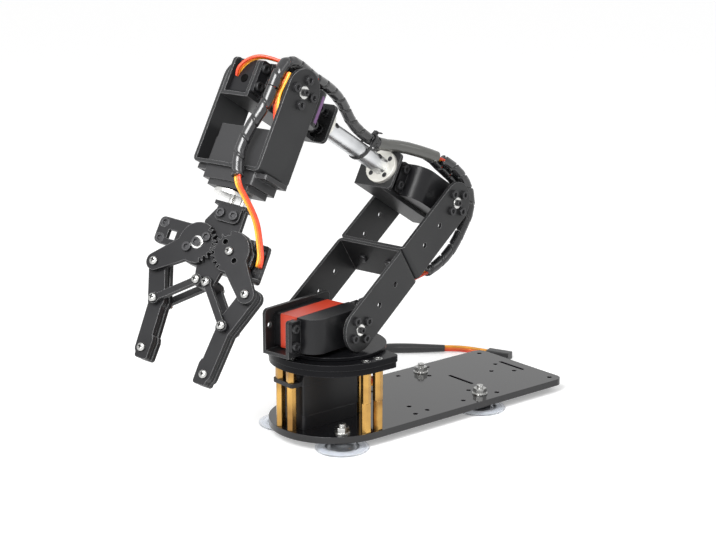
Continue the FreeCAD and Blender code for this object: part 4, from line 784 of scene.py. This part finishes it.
# Short leads. Flat three-core servo leads of soft vinyl, left bare where they join the harness.
# The wrist servo's loops over its case and the roll servo's lies inside the fork.
# The base servo's hangs behind its case.
WRIST_LEAD = [
    (0.1705, -0.0112, -0.0008), (0.1726, -0.0107, 0.0022), (0.1726, -0.0076, 0.0068),
    (0.1720, -0.004, 0.0098), (0.1704, 0.0005, 0.0118), (0.1674, 0.0055, 0.0122),
    (0.1642, 0.010, 0.0121), (0.160, 0.0145, 0.0136),
]
WRIST_LEAD_SPACING = 0.0012
FORK_LEAD = [
    (-0.0057, 0.0200, 0.0122), (0.0005, 0.0192, 0.0122), (0.0075, 0.0190, 0.0130), (0.0125, 0.0198, 0.0122),
    (0.0165, 0.0205, 0.0105), (0.0225, 0.0205, 0.0070), (0.0262, 0.0195, 0.003),
]
BASE_LEAD = [
    (-0.010, 0.0, 0.024), (-0.0172, 0.0, 0.0245), (-0.0205, 0.005, 0.026), (-0.021, 0.011, 0.027),
    (-0.026, 0.009, 0.027), (-0.027, -0.004, 0.024), (-0.020, -0.014, 0.020), (-0.008, -0.0215, 0.0172),
]
for label, place, points, body, side, spacing in (
    ("wrist_lead", forearm, WRIST_LEAD, "forearm", forearm.to_3x3().col[0], WRIST_LEAD_SPACING),
    ("fork_lead", wrist, FORK_LEAD, "wrist", -link_side, CORE_SPACING),
    ("base_lead", Matrix.Identity(4), BASE_LEAD, "base", Vector((0, 0, 1)), CORE_SPACING),
):
    lead_sizes = {**BARE_SIZES, "Spacing": spacing, "Side": side}
    lead = grown(traced(label, laid(place, points)), leads, lead_sizes)
    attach(lead, body)


# Rear lead. A black soft sleeve from the base servo over the plate's far edge, lying on the table.
# Bare cores come out of its end and go into a small black connector.
REAR_SLEEVE = [
    (-0.006, -0.010, 0.017), (-0.006, -0.019, 0.017), (-0.009, -0.029, 0.0184), (-0.0153, -0.0394, 0.0195),
    (-0.025, -0.050, 0.0178), (-0.0372, -0.061, 0.0136), (-0.0502, -0.072, 0.0088), (-0.065, -0.083, 0.005),
    (-0.084, -0.0925, 0.0036), (-0.101, -0.0973, 0.0034), (-0.118, -0.0928, 0.0034),
    (-0.1325, -0.081, 0.0034), (-0.1485, -0.0674, 0.0034),
]
SLEEVE_R = 0.0033
SLEEVE_END = 0.7
sleeve_skin, sleeve_shader = finish("soft_sleeve", (0.020, 0.020, 0.021), 0.36)
add_grain(sleeve_skin, sleeve_shader, scale=800.0, depth=0.06, dull=0.44, bright=0.3)
rear_sleeve = route("rear_sleeve_cord", REAR_SLEEVE)
rear_sleeve.data.bevel_depth = SLEEVE_R
rear_sleeve.data.bevel_resolution = 5
rear_sleeve.data.use_fill_caps = True
rear_sleeve.data.splines[0].points[-1].radius = SLEEVE_END
rear_sleeve.data.materials.append(sleeve_skin)
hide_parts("rear_sleeve")
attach(rear_sleeve, "base")

REAR_CORES = [
    (-0.1485, -0.0674, 0.0034), (-0.1546, -0.0622, 0.0034), (-0.1597, -0.0568, 0.003),
    (-0.1638, -0.0511, 0.0025), (-0.1666, -0.0441, 0.0025),
]
rear_cores = traced("rear_cores_cord", REAR_CORES)
rear_cores = grown(rear_cores, leads, {**BARE_SIZES, "Side": Vector((0, 0, -1))})
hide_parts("rear_cores")
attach(rear_cores, "base")
dress(nylon, "rear_connector")


# Studio. A pale floor and an even white surround, lit by a broad window light and two soft panels.
# The camera stands where the photograph was taken from.
IMAGE_WIDTH = 716
FOCAL_PIXELS = 1584.4
SENSOR = 36.0
CAMERA_AT = Vector((0.5411, 0.6838, 0.3233))
CAMERA_BACK = Vector((0.6127, 0.7492, 0.2524)).normalized()
camera_data = bpy.data.cameras.new("camera")
camera_data.sensor_width = SENSOR
camera_data.lens = FOCAL_PIXELS / IMAGE_WIDTH * SENSOR
camera = bpy.data.objects.new("camera", camera_data)
camera.location = CAMERA_AT
camera.rotation_euler = CAMERA_BACK.to_track_quat("Z", "Y").to_euler()
bpy.context.scene.collection.objects.link(camera)
bpy.context.scene.camera = camera


def background_rays(nodes, links):
    ray = nodes.new("ShaderNodeLightPath")
    seen = ray.outputs["Is Camera Ray"]
    for kind in ("Is Glossy Ray", "Is Transmission Ray"):
        either = nodes.new("ShaderNodeMath")
        either.operation = "MAXIMUM"
        links.new(seen, either.inputs[0])
        links.new(ray.outputs[kind], either.inputs[1])
        seen = either.outputs[0]
    return seen


FLOOR_HALF = 15.0
FLOOR_LIFT = 0.30
floor_mesh = bpy.data.meshes.new("floor")
floor_corners = [(x * FLOOR_HALF, y * FLOOR_HALF, 0.0) for x, y in ((-1, -1), (1, -1), (1, 1), (-1, 1))]
floor_mesh.from_pydata(floor_corners, [], [(0, 1, 2, 3)])
floor = bpy.data.objects.new("floor", floor_mesh)
bpy.context.scene.collection.objects.link(floor)
floor_skin, floor_shader = finish("pale_floor", (0.94, 0.94, 0.94), 0.9, specular=0.0)
floor_shader.inputs["Emission Color"].default_value = (1.0, 1.0, 1.0, 1.0)
floor_nodes, floor_links = floor_skin.node_tree.nodes, floor_skin.node_tree.links
floor_lift = floor_nodes.new("ShaderNodeMath")
floor_lift.operation = "MULTIPLY"
floor_lift.inputs[1].default_value = FLOOR_LIFT
floor_links.new(background_rays(floor_nodes, floor_links), floor_lift.inputs[0])
floor_links.new(floor_lift.outputs[0], floor_shader.inputs["Emission Strength"])
floor.data.materials.append(floor_skin)

SKY_LIGHT = 0.50
world = bpy.data.worlds.new("surround")
bpy.context.scene.world = world
world.use_nodes = True
sky_nodes, sky_links = world.node_tree.nodes, world.node_tree.links
sky = sky_nodes["Background"]
sky.inputs["Color"].default_value = (1.0, 1.0, 1.0, 1.0)
level = sky_nodes.new("ShaderNodeMapRange")
level.inputs["To Min"].default_value = SKY_LIGHT
level.inputs["To Max"].default_value = 1.0
sky_links.new(background_rays(sky_nodes, sky_links), level.inputs["Value"])
sky_links.new(level.outputs["Result"], sky.inputs["Strength"])

WINDOW_POWER = 1.7
WINDOW_SPREAD = 1.0
WINDOW_FROM = Vector((1.0, 0.30, 0.50))
window = bpy.data.lights.new("window", "SUN")
window.energy = WINDOW_POWER
window.angle = WINDOW_SPREAD
window_lamp = bpy.data.objects.new("window", window)
window_lamp.rotation_euler = WINDOW_FROM.to_track_quat("Z", "Y").to_euler()
bpy.context.scene.collection.objects.link(window_lamp)

for label, spot, size, power in (
    ("panel", (0.31, 0.17, 0.40), 0.22, 2.4),
    ("strip", (-0.5, 0.75, 0.8), 0.4, 1.2),
):
    panel = bpy.data.lights.new(label, "AREA")
    panel.shape = "SQUARE"
    panel.size = size
    panel.energy = power
    lamp = bpy.data.objects.new(label, panel)
    lamp.location = spot
    lamp.rotation_euler = (Vector(spot) - wrist_at).to_track_quat("Z", "Y").to_euler()
    bpy.context.scene.collection.objects.link(lamp)

bpy.context.scene.view_settings.view_transform = "Standard"
